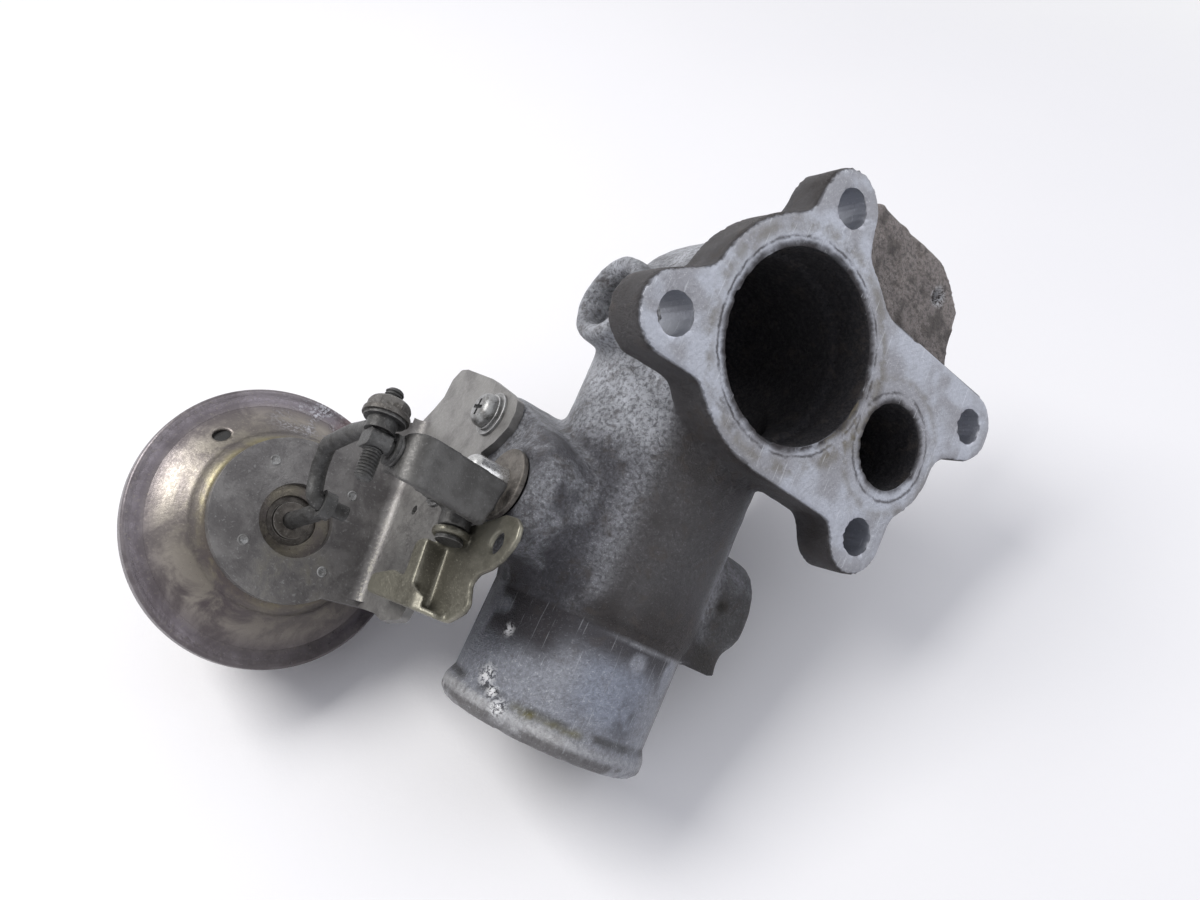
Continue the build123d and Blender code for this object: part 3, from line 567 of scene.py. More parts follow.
# Darker towards the bottom of the casting.
under = ease(-z, 58, 66)
stained = on_spigot * ease(y, -100, -88.5) * ease(middling, 0.25, 0.5)
clean = on_spigot * band(turn_round, -6, 30, 10) * band(y, -101, 11, 4) * ease(middling, 0.1, 0.4)
step_line = on_spigot * ease(y, -87.6, -86.4) * ease(turn_round, -30, 0)
left_flank = on_spigot * ease(-turn_round, 34, 52) * ease(y, -104, -95) * ease(middling, 0.1, 0.35)
top_stain = on_spigot * band(turn_round, 8, 12, 3) * band(y, -105, 9, 2)
olive = band(turn_round, -33, 26, 8) * band(y, -112.6, 1.7, 0.3)
groove = band(y, -111.9, 1.3, 0.3) * ease(middling, 0.25, 0.6)
bead = on_spigot * ease(-y, 113.2, 114.4)
rim_soot = on_face * band(off_bore, 0, 27.6 + 0.9 * small, 26.4)
rim_soot = np.maximum(rim_soot, on_face * band(off_port, 0, 14.0 + 0.9 * small, 12.9))
print("share of rough casting", round(float(rough_cast.mean()), 3))

# %% Coats of paint, each a colour and an amount
CAST_COATS = {
    "oil on the flange's side": ((0.040, 0.034, 0.034), flange_side * (0.66 + 0.5 * mottle)),
    # Painted shade on the tube's side turned from the lamp, mottled.
    "painted shade on the side turned from the lamp": ((0.075, 0.076, 0.09),
                                painted_shade_side * (0.15 + 0.85 * ease(mottle, 0.3, 0.62))),
    # Painted highlight on the tube's right side, in patches.
    "painted highlight on the right side": ((0.25, 0.25, 0.27),
                          right_edge * ease(middling, 0.3, 0.6) * 0.6 * ~flange_rim),
    "black skirt before the spigot": ((0.030, 0.025, 0.025), skirt * 0.92 * ~on_spigot),
    # Painted shade in the hollow.
    "painted shade in the hollow": ((0.045, 0.044, 0.052), hollow * ease(mottle, 0.25, 0.45) * 0.85),
    # Oil and painted shade on the valve block.
    "oil and painted shade on the valve block": ((0.085, 0.084, 0.098),
                               block * (0.25 + 0.7 * ease(mottle, 0.36, 0.58))),
    # Painted light: the rear lug's light brown crust is made lighter still, against the flange's
    # shadow on it.
    "rear lug's crust, painted lighter against the shade": ((0.42, 0.37, 0.345), rear_lug * (0.62 + 0.36 * small)),
    "pits in that crust": ((0.06, 0.052, 0.048), rear_lug * ease(fine_mix, 0.5, 0.75) * 0.75),
    "oil on the lug beside the spigot": ((0.038, 0.035, 0.031), stay * (0.75 + 0.4 * middling)),
    # Darkens the casting towards the bottom.
    "darker towards the bottom": ((0.11, 0.105, 0.105), under * 0.6),
}
SPIGOT_COATS = {
    "grey under the hose": ((0.30, 0.315, 0.36), on_spigot * 0.85),
    "black stain": ((0.030, 0.027, 0.032), 0.9 * stained),
    "clean patch": ((0.27, 0.30, 0.375), clean * 0.75),
    "bright line on the step": ((0.36, 0.37, 0.40), step_line * ease(small, 0.3, 0.55) * 0.8),
    # Painted highlight on the spigot's right flank, broken up by noise.
    "painted highlight on the right flank": ((0.26, 0.26, 0.275),
                          on_spigot * ease(turn_round, 26, 44) * (0.5 + 0.5 * middling)),
    "black left flank": ((0.035, 0.032, 0.037), left_flank * 0.95),
    "stain on the top": ((0.055, 0.055, 0.065),
                         top_stain * ease(0.6 * small + 0.4 * middling, 0.3, 0.62) * 0.6),
    "olive line": ((0.16, 0.145, 0.06), on_spigot * olive * (0.45 + 0.7 * ease(small, 0.3, 0.7))),
    "dirt in the groove": ((0.04, 0.038, 0.036), on_spigot * groove * 0.75 * (1 - 0.7 * olive)),
    # The bead is bright, with a painted highlight on its left half.
    "bright bead with a painted highlight": ((0.50, 0.50, 0.51),
                    bead * (0.55 + 0.45 * middling) * (0.35 + 0.65 * ease(-turn_round, -6, 30))),
    "dirt on the bead's end": ((0.07, 0.063, 0.063),
                               bead * ease(-y, 115.6, 117.2) * ease(fine_mix, 0.3, 0.6) * 0.75),
}
CUT_COATS = {
    "machined face": ((0.44, 0.46, 0.52), on_face * 1.0),
    "gasket's stain": ((0.22, 0.212, 0.22), on_face * ease(mottle, 0.42, 0.66) * 0.6),
    "soot at the openings": ((0.035, 0.032, 0.035), rim_soot * ease(middling, 0.05, 0.4)),
    "bolt holes": ((0.36, 0.375, 0.42), in_bolt * ~on_face),
    "crust in the bores": ((0.0065, 0.006, 0.0105), crusty),
}
tone = np.array((0.50, 0.515, 0.56)) * (0.12 + 1.5 * mottle)[:, None]
for coats in (CAST_COATS, SPIGOT_COATS, CUT_COATS):
    for coat, amount in coats.values():
        tone = layer(tone, coat, amount)
machined = np.clip(on_face * 0.8 + in_bolt * 1.0 + on_spigot * 0.5, 0, 1) * ~crusty
crust = np.clip(crusty * 1.0 + rear_lug * 0.45 + flange_side * 0.2, 0, 1)

paint = casting.data.attributes.new("paint", "FLOAT_COLOR", "POINT")
opaque = np.concatenate((tone, np.ones((count, 1))), 1)
paint.data.foreach_set("color", opaque.astype(np.float32).ravel())
for name, values in (("machined", machined), ("crust", crust)):
    measure = casting.data.attributes.new(name, "FLOAT", "POINT")
    measure.data.foreach_set("value", values.astype(np.float32))
    print("mean of", name, round(float(values.mean()), 3))

# %% Marks on the casting
SOOT, OLIVE_BROWN = (0.030, 0.027, 0.030, 1), (0.135, 0.118, 0.085, 1)
PORE, OIL, PIT = (0.045, 0.042, 0.045, 1), (0.075, 0.062, 0.055, 1), (0.035, 0.033, 0.035, 1)
GLINT, SCRATCHED, CHIPPED = (0.62, 0.63, 0.66, 1), (0.72, 0.74, 0.79, 1), (0.85, 0.85, 0.87, 1)
WOBBLE = 2.2

# Each mark: centre, radius of the line (0 is a blot), width, strength, how broken up, tint.
MARKS = (((0, 0), 26.2, 2.0, 1.0, 0.55, SOOT), ((0, 0), 28.6, 0.7, 0.85, 1.0, SOOT),
         ((0, 0), 31.5, 3.4, 0.55, 1.0, OLIVE_BROWN),
         (PORT_AT, 12.6, 1.5, 0.9, 0.3, SOOT), (PORT_AT, 15.6, 0.8, 0.8, 1.0, SOOT),
         (PORT_AT, 19.5, 2.2, 0.4, 1.0, OLIVE_BROWN),
         ((27.0, -9.0), 0.0, 13.0, 0.9, 1.0, OLIVE_BROWN), ((29.5, 3.0), 0.0, 7.5, 0.75, 1.0, SOOT),
         ((24.0, -19.0), 0.0, 9.0, 0.7, 1.0, OLIVE_BROWN), ((-9.0, -25.5), 0.0, 7.5, 0.8, 1.0, SOOT),
         ((-17.0, -22.0), 0.0, 9.0, 0.6, 1.0, SOOT), ((3.0, 29.5), 0.0, 6.0, 0.6, 1.0, SOOT))
# Each chip: centre, and the two distances between which it fades out.
CHIPS = (((-26.9, -109.0, -30.6), 0.5, 4.0), ((-26.8, -96.6, -30.3), 0.3, 2.6),
         ((-24.6, -114.5, -23.2), 0.4, 3.2), ((54.6, 49.5, -14.0), 2.2, 4.4),
         ((-25.5, -112.0, -27.0), 0.4, 2.6))


def ring_mask(tree, here, centre, radius, width, wobble):
    """Soft line round a centre in the flange face's plane, broken up by noise."""
    flat = add(tree, "VectorMath", {0: here, 1: (1, 1, 0)}, operation="MULTIPLY").outputs["Vector"]
    far = how_far(tree, flat, (centre[0] * MM, centre[1] * MM, 0))
    shift = product(tree, combine(tree, "SUBTRACT", wobble, 0.5), WOBBLE * MM)
    off = combine(tree, "SUBTRACT", combine(tree, "ADD", far, shift), radius * MM)
    return step(tree, combine(tree, "ABSOLUTE", off), 0.0, width * MM, 1.0, 0.0)


print("marks", len(MARKS), "chips", len(CHIPS))

# %% Material of the casting
cast_skin, tree, shader, here = begin("cast_aluminium_worn")
painted = add(tree, "Attribute", attribute_name="paint").outputs["Color"]
is_cut = add(tree, "Attribute", attribute_name="machined").outputs["Fac"]
is_crust = add(tree, "Attribute", attribute_name="crust").outputs["Fac"]
sand = grain(tree, here, 1.15, 5.0, 0.75, 0.4)
blotch = grain(tree, here, 5.0, 5.0, 0.65, 0.4)
fine = grain(tree, here, 0.35, 2.0)
open_metal = combine(tree, "SUBTRACT", 1.0, is_cut)
pores = product(tree, open_metal, 0.68, step(tree, sand, 0.36, 0.57, 1.0, 0.0))
colour = blend(tree, pores, painted, PORE)
brightness = add(tree, "RGBToBW", {"Color": painted}).outputs["Val"]
glints = product(tree, step(tree, sand, 0.50, 0.62), step(tree, fine, 0.50, 0.62),
                 step(tree, brightness, 0.03, 0.30, 0.22, 1.0),
                 combine(tree, "SUBTRACT", 0.55, product(tree, is_crust, 0.5)))
colour = blend(tree, glints, colour, GLINT)
oil = product(tree, open_metal, 0.5, step(tree, blotch, 0.52, 0.68))
colour = blend(tree, oil, colour, OIL)
soot_noise = grain(tree, here, 4.0, 5.0, 0.7)
gaps = step(tree, grain(tree, here, 6.0, 4.0), 0.36, 0.58)
for centre, radius, width, strength, broken, tint in MARKS:
    line = ring_mask(tree, here, centre, radius, width, soot_noise)
    line = product(tree, line, combine(tree, "MAXIMUM", gaps, 1.0 - broken))
    if radius == 0.0:
        line = product(tree, line, step(tree, soot_noise, 0.44, 0.60))
    line = product(tree, line, step(tree, is_cut, 0.6, 0.78), strength)
    colour = blend(tree, line, colour, tint)
stretched = {"Vector": here, "Rotation": (0, 0, 0.9), "Scale": (1.0, 0.06, 1.0)}
scratch_way = add(tree, "Mapping", stretched).outputs["Vector"]
scratch = step(tree, grain(tree, scratch_way, 0.7, 2.0, 0.5, 0.2), 0.64, 0.70)
colour = blend(tree, product(tree, is_cut, 0.35, scratch), colour, SCRATCHED)
for chip, low, high in CHIPS:
    near = near_point(tree, here, chip, low, high)
    pit = product(tree, near, step(tree, sand, 0.47, 0.42))
    bare = product(tree, near, step(tree, sand, 0.47, 0.53))
    colour = blend(tree, pit, colour, PIT)
    colour = blend(tree, bare, colour, CHIPPED)
tree.links.new(colour, shader.inputs["Base Color"])

# %% Gloss and relief of the casting
CUTTER_AT, CUTTER_RATE = (0.16, -0.11, 0), 4200.0
metal = combine(tree, "ADD", 0.42, product(tree, is_cut, 0.35))
metal = combine(tree, "SUBTRACT", metal, product(tree, is_crust, 0.42))
tree.links.new(metal, shader.inputs["Metallic"])
dull = combine(tree, "ADD", step(tree, sand, 0.3, 0.7, 0.40, 0.62), product(tree, is_cut, -0.1))
dull = combine(tree, "ADD", dull, product(tree, is_crust, 0.22))
tree.links.new(dull, shader.inputs["Roughness"])
swirl = combine(tree, "SINE", product(tree, how_far(tree, here, CUTTER_AT), CUTTER_RATE))
roughness = combine(tree, "ADD", product(tree, open_metal, 1.25), 0.05)
pits = product(tree, combine(tree, "ADD", sand, product(tree, fine, 0.4)), roughness)
pits = combine(tree, "ADD", pits, product(tree, swirl, is_cut, 0.02))
height = combine(tree, "ADD", pits, product(tree, blotch, is_crust, 1.4))
relief(tree, shader, height, 0.95)
casting.data.materials.clear()
casting.data.materials.append(cast_skin)
stand_for(casting, "housing", "cast_aluminium", "valve_body")

# %% [markdown]
# ## Finishes for the steel pieces
# All the steel here has the same history in a different strength: a plating, patches where
# it has gone dull, fine speckle, and bright metal on the edges that something rubs. One
# function makes the tree, and each finish gives it colours and sizes. Most have a twin for
# the narrow faces on broken edges, where the bright metal shows through.

# %% Worn steel
def worn_steel(name, dark, plain, bright, metallic=0.6, dull=0.45, patch=6.0, speck=0.8,
               depth=0.12, extra=None, edges=0.0):
    """Mottled metal: dark and plain in patches, bright specks and edges, and a fine grain."""
    material, tree, shader, here = begin(name)
    patches = grain(tree, here, patch, 5.0, 0.65, 0.3)
    specks = grain(tree, here, speck, 3.0, 0.6)
    colour = blend(tree, step(tree, patches, 0.36, 0.62), dark, plain)
    colour = blend(tree, product(tree, step(tree, specks, 0.56, 0.72), 0.45), colour, bright)
    colour = blend(tree, product(tree, step(tree, specks, 0.44, 0.3), 0.35), colour, dark)
    colour = blend(tree, step(tree, patches, 0.35, 0.6, 0.4 * edges, edges), colour, bright)
    if extra:
        colour = extra(tree, here, colour, patches, specks)
    tree.links.new(colour, shader.inputs["Base Color"])
    shader.inputs["Metallic"].default_value = metallic
    roughness = step(tree, specks, 0.3, 0.7, dull - 0.1, dull + 0.14)
    tree.links.new(roughness, shader.inputs["Roughness"])
    relief(tree, shader, combine(tree, "ADD", specks, product(tree, patches, 0.8)), depth)
    return material


def along_linkage(tree, here):
    """The point in the linkage's axes, and its x, b and a outputs, in metres."""
    values = {"Vector": here, "Location": tuple(ACTUATOR_AT * MM), "Rotation": (-TILT, 0, 0)}
    turned_point = add(tree, "Mapping", values, vector_type="TEXTURE").outputs["Vector"]
    return turned_point, add(tree, "SeparateXYZ", {0: turned_point}).outputs


ZINC_GREY, BEND_HIGHLIGHT_AND_WEAR = (0.285, 0.28, 0.27, 1), (0.56, 0.54, 0.47, 1)
YELLOWED = (0.19, 0.175, 0.11, 1)
BEND_AT, YELLOW_AT = (25.9, 0, 19.3), (4, -14, 18)


def plate_marks(tree, here, colour, patches, specks):
    """The bend has a painted highlight and wear, the leg is clean zinc, and the disc end is dull."""
    point, (x, b, a) = along_linkage(tree, here)
    leg = step(tree, a, 19.5 * MM, 23.0 * MM)
    leg = product(tree, leg, step(tree, patches, 0.3, 0.62, 0.25, 0.7))
    colour = blend(tree, leg, colour, ZINC_GREY)
    flat = add(tree, "CombineXYZ", {"X": x, "Y": 0.0, "Z": a}).outputs["Vector"]
    # Painted highlight and wear along the plate's inner bend, in specks.
    bend_highlight_and_wear = product(tree, near_point(tree, flat, BEND_AT, 0.2, 1.5),
                     step(tree, specks, 0.46, 0.60), step(tree, b, 14 * MM, -16 * MM, 0.25, 0.95),
                     step(tree, patches, 0.28, 0.55, 0.25, 0.9))
    colour = blend(tree, bend_highlight_and_wear, colour, BEND_HIGHLIGHT_AND_WEAR)
    yellow = product(tree, near_point(tree, point, YELLOW_AT, 4, 15),
                     step(tree, patches, 0.45, 0.65, 0.0, 0.5))
    return blend(tree, yellow, colour, YELLOWED)


print("worn steel ready")

# %% Table of steel finishes
# Each row: dark, plain and bright colour, metallic, dull, patch, speck, depth, own marks.
FINISHES = {
    "plate_steel": ((0.130, 0.123, 0.123, 1), (0.225, 0.217, 0.213, 1), grey(0.40),
                    0.5, 0.46, 9.0, 0.9, 0.10, plate_marks),
    "tray_olive": ((0.125, 0.118, 0.094, 1), (0.235, 0.225, 0.183, 1), (0.42, 0.40, 0.33, 1),
                   0.55, 0.38, 16.0, 0.5, 0.03),
    "lever_steel": (grey(0.062, 0.03), grey(0.105, 0.02), grey(0.22), 0.5, 0.46, 9.0, 0.6, 0.06),
    "rod_steel": (grey(0.045, 0.02), grey(0.09, 0.0), grey(0.27, 0.03), 0.5, 0.5, 4.0, 0.7, 0.14),
    "nut_steel": (grey(0.06, 0.1), grey(0.14, 0.05), grey(0.36, 0.05), 0.5, 0.5, 3.0, 0.6, 0.16),
    "bright_zinc": (grey(0.17, 0.02), grey(0.34, -0.01), grey(0.66), 0.7, 0.36, 3.0, 0.5, 0.06),
    "cap_steel": (grey(0.07, 0.12), grey(0.15, 0.10), grey(0.34, 0.06), 0.5, 0.5, 4.0, 0.7, 0.10),
    "ground_steel": (grey(0.40), grey(0.58), grey(0.75), 0.8, 0.28, 5.0, 0.5, 0.03),
    "seat_iron": (grey(0.03), grey(0.06, 0.03), grey(0.12), 0.4, 0.6, 2.0, 0.5, 0.1),
    "guide_bronze": ((0.20, 0.13, 0.06, 1), (0.33, 0.22, 0.11, 1), (0.5, 0.38, 0.2, 1),
                     0.8, 0.4, 2.0, 0.5, 0.05),
    "black_rubber": (grey(0.010), grey(0.018), grey(0.04), 0.0, 0.65, 3.0, 0.4, 0.06),
}
EDGE_SHARE = 0.7
WITH_EDGES = ("plate_steel", "tray_olive", "lever_steel", "rod_steel", "nut_steel", "bright_zinc",
              "cap_steel", "ground_steel")
finish = {name: worn_steel(name, *values) for name, values in FINISHES.items()}
for name in WITH_EDGES:
    finish[name + "_edge"] = worn_steel(name + "_edge", *FINISHES[name][:8], edges=EDGE_SHARE)
print("steel finishes", len(bpy.data.materials))

# %% [markdown]
# ## The can and its cup
# The actuator is two pressed shells, rolled together at the rim. Drawing leaves rings in the metal,
# and old zinc goes purple and tan, with white bloom on the upper side. The colour follows the distance
# from the rod, so the material works that out in the actuator's own axes and sends it through a colour
# ramp. The ramp's lightest tan band on the flank is a painted reflection, and the lower side has a
# painted shadow.

# %% Tarnished shell
CAN_R = 42.0
PURPLE, SHELL_SPECK, SHADED = (0.098, 0.085, 0.092, 1), (0.34, 0.31, 0.27, 1), (0.050, 0.043, 0.042, 1)
BROWN, BLOOM, RUST = (0.072, 0.058, 0.064, 1), (0.50, 0.50, 0.54, 1), (0.20, 0.10, 0.085, 1)


def shell_steel(name, stops):
    """Zinc shell: ramp along the radius with a painted reflection on the flank, drawn rings, tan and
    purple patches, white bloom, and a painted shadow on the lower side.
    """
    material, tree, shader, here = begin(name)
    point, (x, b, a) = along_linkage(tree, here)
    flat = add(tree, "CombineXYZ", {"X": x, "Y": b, "Z": 0.0}).outputs["Vector"]
    radius = add(tree, "VectorMath", {0: flat}, operation="LENGTH").outputs["Value"]
    ramp = add(tree, "ValToRGB", {"Fac": product(tree, radius, 1000.0 / CAN_R)})
    while len(ramp.color_ramp.elements) < len(stops):
        ramp.color_ramp.elements.new(0.5)
    for element, (place, tint) in zip(ramp.color_ramp.elements, stops):
        element.position = place / CAN_R
        element.color = (*tint, 1)
    angle = product(tree, combine(tree, "ARCTAN2", b, x), 0.002)
    rings = add(tree, "CombineXYZ", {"X": radius, "Y": angle, "Z": a}).outputs["Vector"]
    drawn = grain(tree, rings, 0.55, 3.0)
    patches = grain(tree, here, 11.0, 5.0, 0.65, 0.5)
    fine = grain(tree, here, 0.9, 4.0, 0.65)
    purple = step(tree, patches, 0.38, 0.60, 0.0, 0.65)
    colour = blend(tree, purple, ramp.outputs["Color"], PURPLE)
    colour = blend(tree, product(tree, step(tree, fine, 0.55, 0.7), 0.4), colour, SHELL_SPECK)
    shadow_side = product(tree, near_point(tree, point, (16, -34, 2), 6, 34), 0.55)
    colour = blend(tree, shadow_side, colour, SHADED)
    low_band = product(tree, near_point(tree, point, (-12, -24, 8), 5, 24),
                       step(tree, patches, 0.34, 0.58, 0.25, 0.85))
    colour = blend(tree, low_band, colour, BROWN)
    bloom = product(tree, near_point(tree, point, (-2, 36, 2), 3, 20),
                    step(tree, patches, 0.44, 0.60), step(tree, fine, 0.46, 0.58))
    colour = blend(tree, bloom, colour, BLOOM)
    rust = product(tree, near_point(tree, point, (16, 35, 2), 3, 14),
                   step(tree, patches, 0.32, 0.55, 0.2, 0.75))
    colour = blend(tree, rust, colour, RUST)
    tree.links.new(colour, shader.inputs["Base Color"])
    shader.inputs["Metallic"].default_value = 0.72
    tree.links.new(step(tree, fine, 0.3, 0.7, 0.27, 0.46), shader.inputs["Roughness"])
    height = combine(tree, "ADD", product(tree, drawn, 0.35), product(tree, fine, 0.6))
    relief(tree, shader, height, 0.10)
    return material


# The tan comes from the tarnish; the light stop at 32.5 mm is a painted reflection on the flank.
SHELL_STOPS = ((5, (0.09, 0.083, 0.078)), (9, (0.20, 0.18, 0.14)), (12, (0.13, 0.12, 0.11)),
               (24.6, (0.22, 0.195, 0.12)), (26.2, (0.19, 0.172, 0.14)),
               (32.5, (0.33, 0.30, 0.265)), (35.5, (0.235, 0.21, 0.205)),
               (38.0, (0.185, 0.165, 0.185)), (42, (0.215, 0.195, 0.207)))
finish["tarnished_shell"] = shell_steel("tarnished_shell", SHELL_STOPS)
print("shell colours", len(SHELL_STOPS))

# %% Cup and can
# A profile's corners are (radius, place along the rod), and each has its own rounding.
CUP = ((7.2, 15.4), (24.4, 15.4), (26.4, 12.6), (27.4, 10.2), (30.8, 7.4), (35.0, 3.9),
       (37.8, 2.1), (40.6, 2.1), (40.6, 0.9), (37.0, 0.9), (33.8, 2.9), (29.8, 6.2),
       (26.2, 9.2), (25.1, 12.0), (23.8, 14.2), (7.2, 14.2))
CUP_ROUND = (0.3, 1.3, 2.0, 2.4, 3.5, 3.0, 1.4, 0.3, 0.3, 1.4, 3.0, 3.5, 2.4, 2.0, 1.0, 0.3)
CAN = ((0.05, -30.0), (26.0, -30.0), (31.0, -28.0), (34.0, -24.0), (37.5, -2.0), (41.2, -2.0),
       (42.0, -1.2), (42.0, 2.3), (41.3, 2.9), (39.0, 2.55), (36.5, 3.0), (36.4, 2.9),
       (38.6, 2.2), (40.8, 2.2), (40.8, -0.8), (36.1, -0.8), (32.6, -23.4), (30.2, -27.0),
       (25.6, -28.8), (0.05, -28.8))
CAN_ROUND = (0.02, 3.0, 2.4, 4.0, 1.6, 0.6, 0.6, 1.0, 0.9, 2.5, 0.05, 0.05, 0.4, 0.2, 0.2, 1.2,
             4.0, 2.4, 3.0, 0.02)
DRILL = np.array(((0.02, -7.0), (2.6, -7.0), (2.6, 7.0), (0.02, 7.0)))
DRAIN_AT = np.array((-26.5, 17.5, 8.0))
DRAIN_TURN = np.array(Vector((-0.6, 0.4, 0.7)).to_track_quat("Z", "Y").to_matrix()).T
SHELL_COLUMNS = 144


def at_drain(points):
    """From the drill's own axes to the row frame."""
    return linkage(DRAIN_AT + points @ DRAIN_TURN)


tarnished = finish["tarnished_shell"]
cup = turned("cup_shell", rounded(CUP, CUP_ROUND), tarnished, linkage, SHELL_COLUMNS, 50.0)
drill = turned("drill", DRILL, tarnished, at_drain, 32)
drain = cup.modifiers.new("drain", "BOOLEAN")
drain.operation = "DIFFERENCE"
drain.object = drill
apply_modifiers(cup)
bpy.data.objects.remove(drill)
stand_for(cup, "housing", "tarnished_steel", "actuator_cup")
can = turned("can_shell", rounded(CAN, CAN_ROUND), tarnished, linkage, SHELL_COLUMNS, 50.0)
stand_for(can, "housing", "tarnished_steel", "vacuum_can")

# %% [markdown]
# ## Bent and turned steel
# Stamped and turned pieces have small broken edges that catch the light. A merged copy of
# each exact solid gets a narrow Bevel on its sharp edges, and a Weighted Normal, so that the
# flats stay flat in the shading. The tray and the lever are pressed from thick sheet, and
# their bends are round all over, so their copies are cut into cells and relaxed instead, as
# the casting is.

# %% Copies with broken edges
FLAT_ANGLE, EDGE_ANGLE = math.radians(1.0), math.radians(32)


def broken_edges(node, material, slot, width):
    """Merged copy of a CAD node with a small bevel on every edge sharper than 32 degrees."""
    piece = copy_of_node(node + "_worn", node)
    piece.data.materials.append(finish[material])
    piece.data.materials.append(finish.get(material + "_edge", finish[material]))
    work = bmesh.new()
    work.from_mesh(piece.data)
    bmesh.ops.dissolve_limit(work, angle_limit=FLAT_ANGLE, verts=work.verts, edges=work.edges)
    work.to_mesh(piece.data)
    work.free()
    shade_smooth(piece)
    bevel = piece.modifiers.new("bevel", "BEVEL")
    bevel.width = width * MM
    bevel.segments = 2
    bevel.limit_method = "ANGLE"
    bevel.angle_limit = EDGE_ANGLE
    bevel.use_clamp_overlap = True
    bevel.material = 1
    even = piece.modifiers.new("even", "WEIGHTED_NORMAL")
    even.keep_sharp = True
    apply_modifiers(piece)
    stand_for(piece, body_of(node), slot, node)


def rounded_sheet(node, material, slot, cell, rounds):
    """Copy of a CAD node cut into even cells and relaxed, so that its bends are round."""
    piece = copy_of_node(node + "_rounded", node)
    cut_into_cells(piece, cell)
    points = read_points(piece)
    write_points(piece, relax(points, read_edges(piece), np.ones(len(points)), rounds))
    shade_smooth(piece)
    piece.data.materials.clear()
    piece.data.materials.append(finish[material])
    stand_for(piece, body_of(node), slot, node)


rounded_sheet("pivot_bracket", "tray_olive", "olive_steel", 0.42, 7)
rounded_sheet("lever", "lever_steel", "dark_steel", 0.40, 6)
# Each row: node, finish, slot of the record, and width of the broken edge.
EDGED = (("actuator_bracket", "plate_steel", "zinc_steel", 0.35),
         ("swivel", "rod_steel", "dark_steel", 0.25),
         ("swivel_clip", "lever_steel", "dark_steel", 0.15),
         ("hook_rod", "rod_steel", "dark_steel", 0.2),
         ("actuator_rod", "rod_steel", "dark_steel", 0.25),
         ("stud_nut", "nut_steel", "dark_steel", 0.2),
         ("stud_washer", "rod_steel", "dark_steel", 0.15),
         ("bracket_screws", "bright_zinc", "zinc_steel", 0.2),
         ("screw_washers", "bright_zinc", "zinc_steel", 0.15),
         ("poppet_valve", "ground_steel", "ground_steel", 0.2),
         ("pivot_pin", "rod_steel", "dark_steel", 0.2),
         ("pivot_clip", "rod_steel", "dark_steel", 0.1),
         ("seal_cup", "cap_steel", "zinc_steel", 0.2),
         ("access_plug", "nut_steel", "dark_steel", 0.25),
         ("rod_guide", "cap_steel", "seal_rubber", 0.2))
for node, material, slot, width in EDGED:
    broken_edges(node, material, slot, width)

# %% [markdown]
# ## The adjusting stud's thread
# The stud is a screw of 4.5 mm with a pitch of 0.8 mm. On the real one the thread shows at
# both ends. The surface is r(t, s) = crest radius - depth * tooth(s / pitch - t / full turn),
# where tooth is a rounded triangle wave. Both ends run down to a small flat.

# %% Threaded stud
LEVER_ARM, LEVER_REST = 33.1, math.radians(20.0)
STUD_X = 21.36 - LEVER_ARM * math.cos(LEVER_REST)
STUD_A = 72.0 + LEVER_ARM * math.sin(LEVER_REST)
CREST_R, THREAD_DEPTH, PITCH = 2.25, 0.42, 0.8
POINT_DEPTH = 0.65


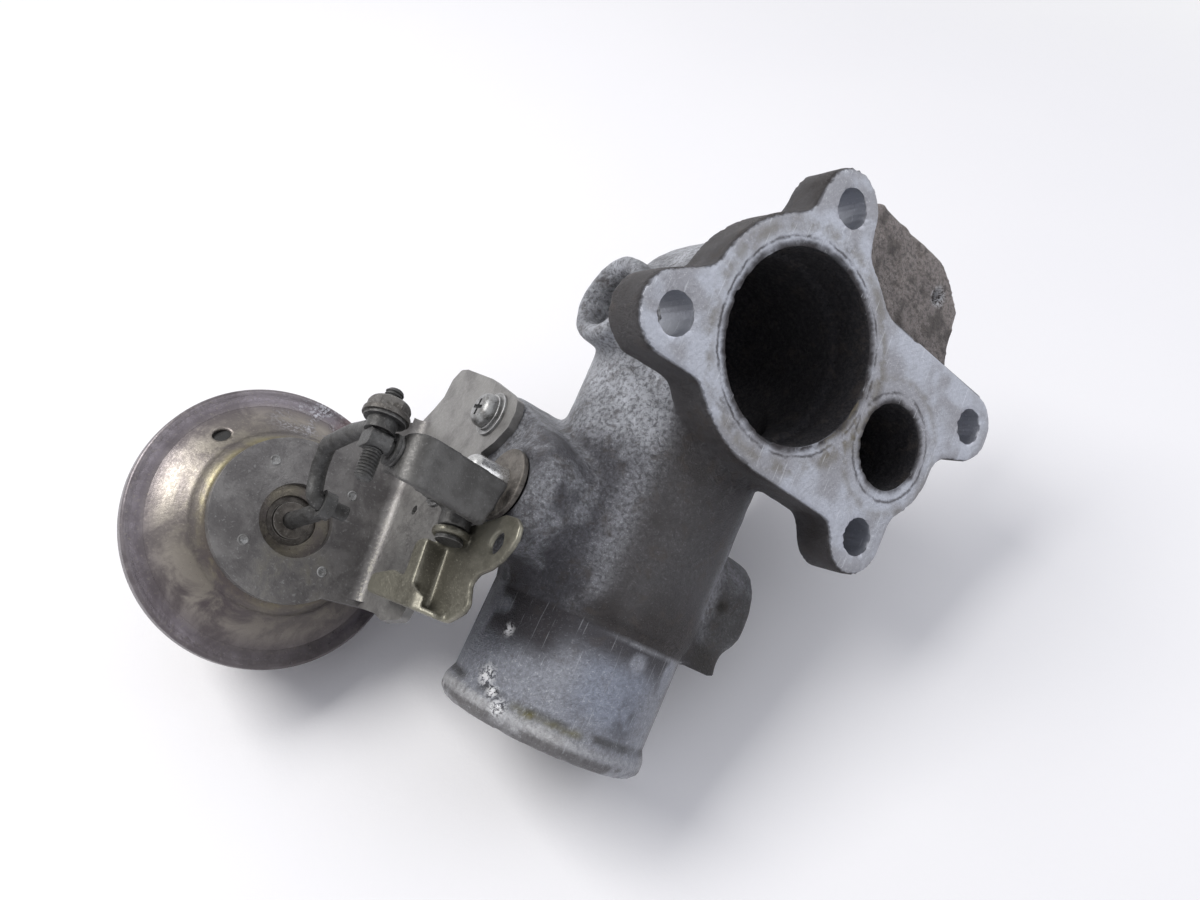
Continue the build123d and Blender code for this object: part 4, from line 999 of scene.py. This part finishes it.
def threaded_rod(name, low, high, material, place, columns=28, rows_a_turn=9):
    """Screw surface: along s, round t; the tooth is 1 at a groove's bottom and 0 at a crest."""
    rows = int((high - low) / PITCH * rows_a_turn)
    turns = np.linspace(0, 2 * np.pi, columns, endpoint=False)
    s, t = np.meshgrid(np.linspace(low, high, rows), turns, indexing="ij")
    phase = (s / PITCH - t / (2 * np.pi)) % 1.0
    r = CREST_R - THREAD_DEPTH * ease(1 - 2 * abs(phase - 0.5), 0.12, 0.95)
    r = np.minimum(r, CREST_R - POINT_DEPTH + np.minimum(s - low, high - s))
    body = np.stack((r * np.cos(t), s, r * np.sin(t)), -1).reshape(-1, 3)
    points = np.concatenate((body, [[0, low, 0], [0, high, 0]]))
    first, last_row = np.arange(columns), (rows - 1) * columns
    caps = [(j, (j + 1) % columns, rows * columns) for j in first]
    caps += [(j + last_row, last_row + (j + 1) % columns, rows * columns + 1) for j in first]
    faces = [tuple(f) for f in grid_faces(rows, columns, False)] + caps
    return make_piece(name, place(points), faces, material, 60.0)


at_stud = linkage_at(STUD_X, 0, STUD_A)
stud = threaded_rod("stud_thread", -3.1, 20.3, finish["rod_steel"], at_stud)
stand_for(stud, "link", "dark_steel", "adjusting_stud")

# %% [markdown]
# ## Spot welds
# Four small round marks show where the bracket is welded to the cup. Each is a shallow dish
# with a raised lip, turned from one profile and set on the plate's face.

# %% Spot welds
WELDS = ((-11.6, 13.6), (-11.2, -10.9), (13.4, 13.6), (13.1, -10.9))
DISH = np.array(((0.02, 17.6), (1.55, 17.6), (1.6, 17.93), (1.3, 18.06), (1.0, 18.0),
                 (0.6, 17.94), (0.02, 17.93)))
for number, (weld_x, weld_b) in enumerate(WELDS):
    at_weld = linkage_at(weld_x, weld_b, 0)
    weld = turned("spot_weld_%d" % (number + 1), DISH, finish["bright_zinc"], at_weld, 20)
    stand_for(weld, "housing", "zinc_steel")

# %% [markdown]
# ## Pieces that keep their exact shape
# The inner pieces and the small flush ones stay as they are and only get a finish.

# %% Finishes on the exact solids
KEPT = {"valve_seat": "seat_iron", "stem_guide": "guide_bronze", "stem_seal": "black_rubber",
        "stem_pin": "ground_steel", "diaphragm": "black_rubber", "front_plate": "bright_zinc",
        "spring_plate": "bright_zinc", "rod_nut": "bright_zinc",
        "vacuum_nipple": "tarnished_shell"}
for node, material in KEPT.items():
    nodes[node].data.materials.clear()
    nodes[node].data.materials.append(finish[material])
print("kept", len(KEPT), "exact solids")

# %% [markdown]
# ## The spring
# The spring stands between its seat and the rod's plate, and the plate presses it shorter as the rod
# moves. A copy of its coils is made, and each point's place along the rod's axis is worked out.

# %% The spring's coils
coils = copy_of_node("spring_coils", "diaphragm_spring")
coils.data.materials.append(finish["ground_steel"])
stand_for(coils, "housing", "ground_steel", "diaphragm_spring")
rod_axis = np.array((0.0, math.sin(TILT), math.cos(TILT)))
along_rod = read_points(coils) @ rod_axis
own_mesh(coils)
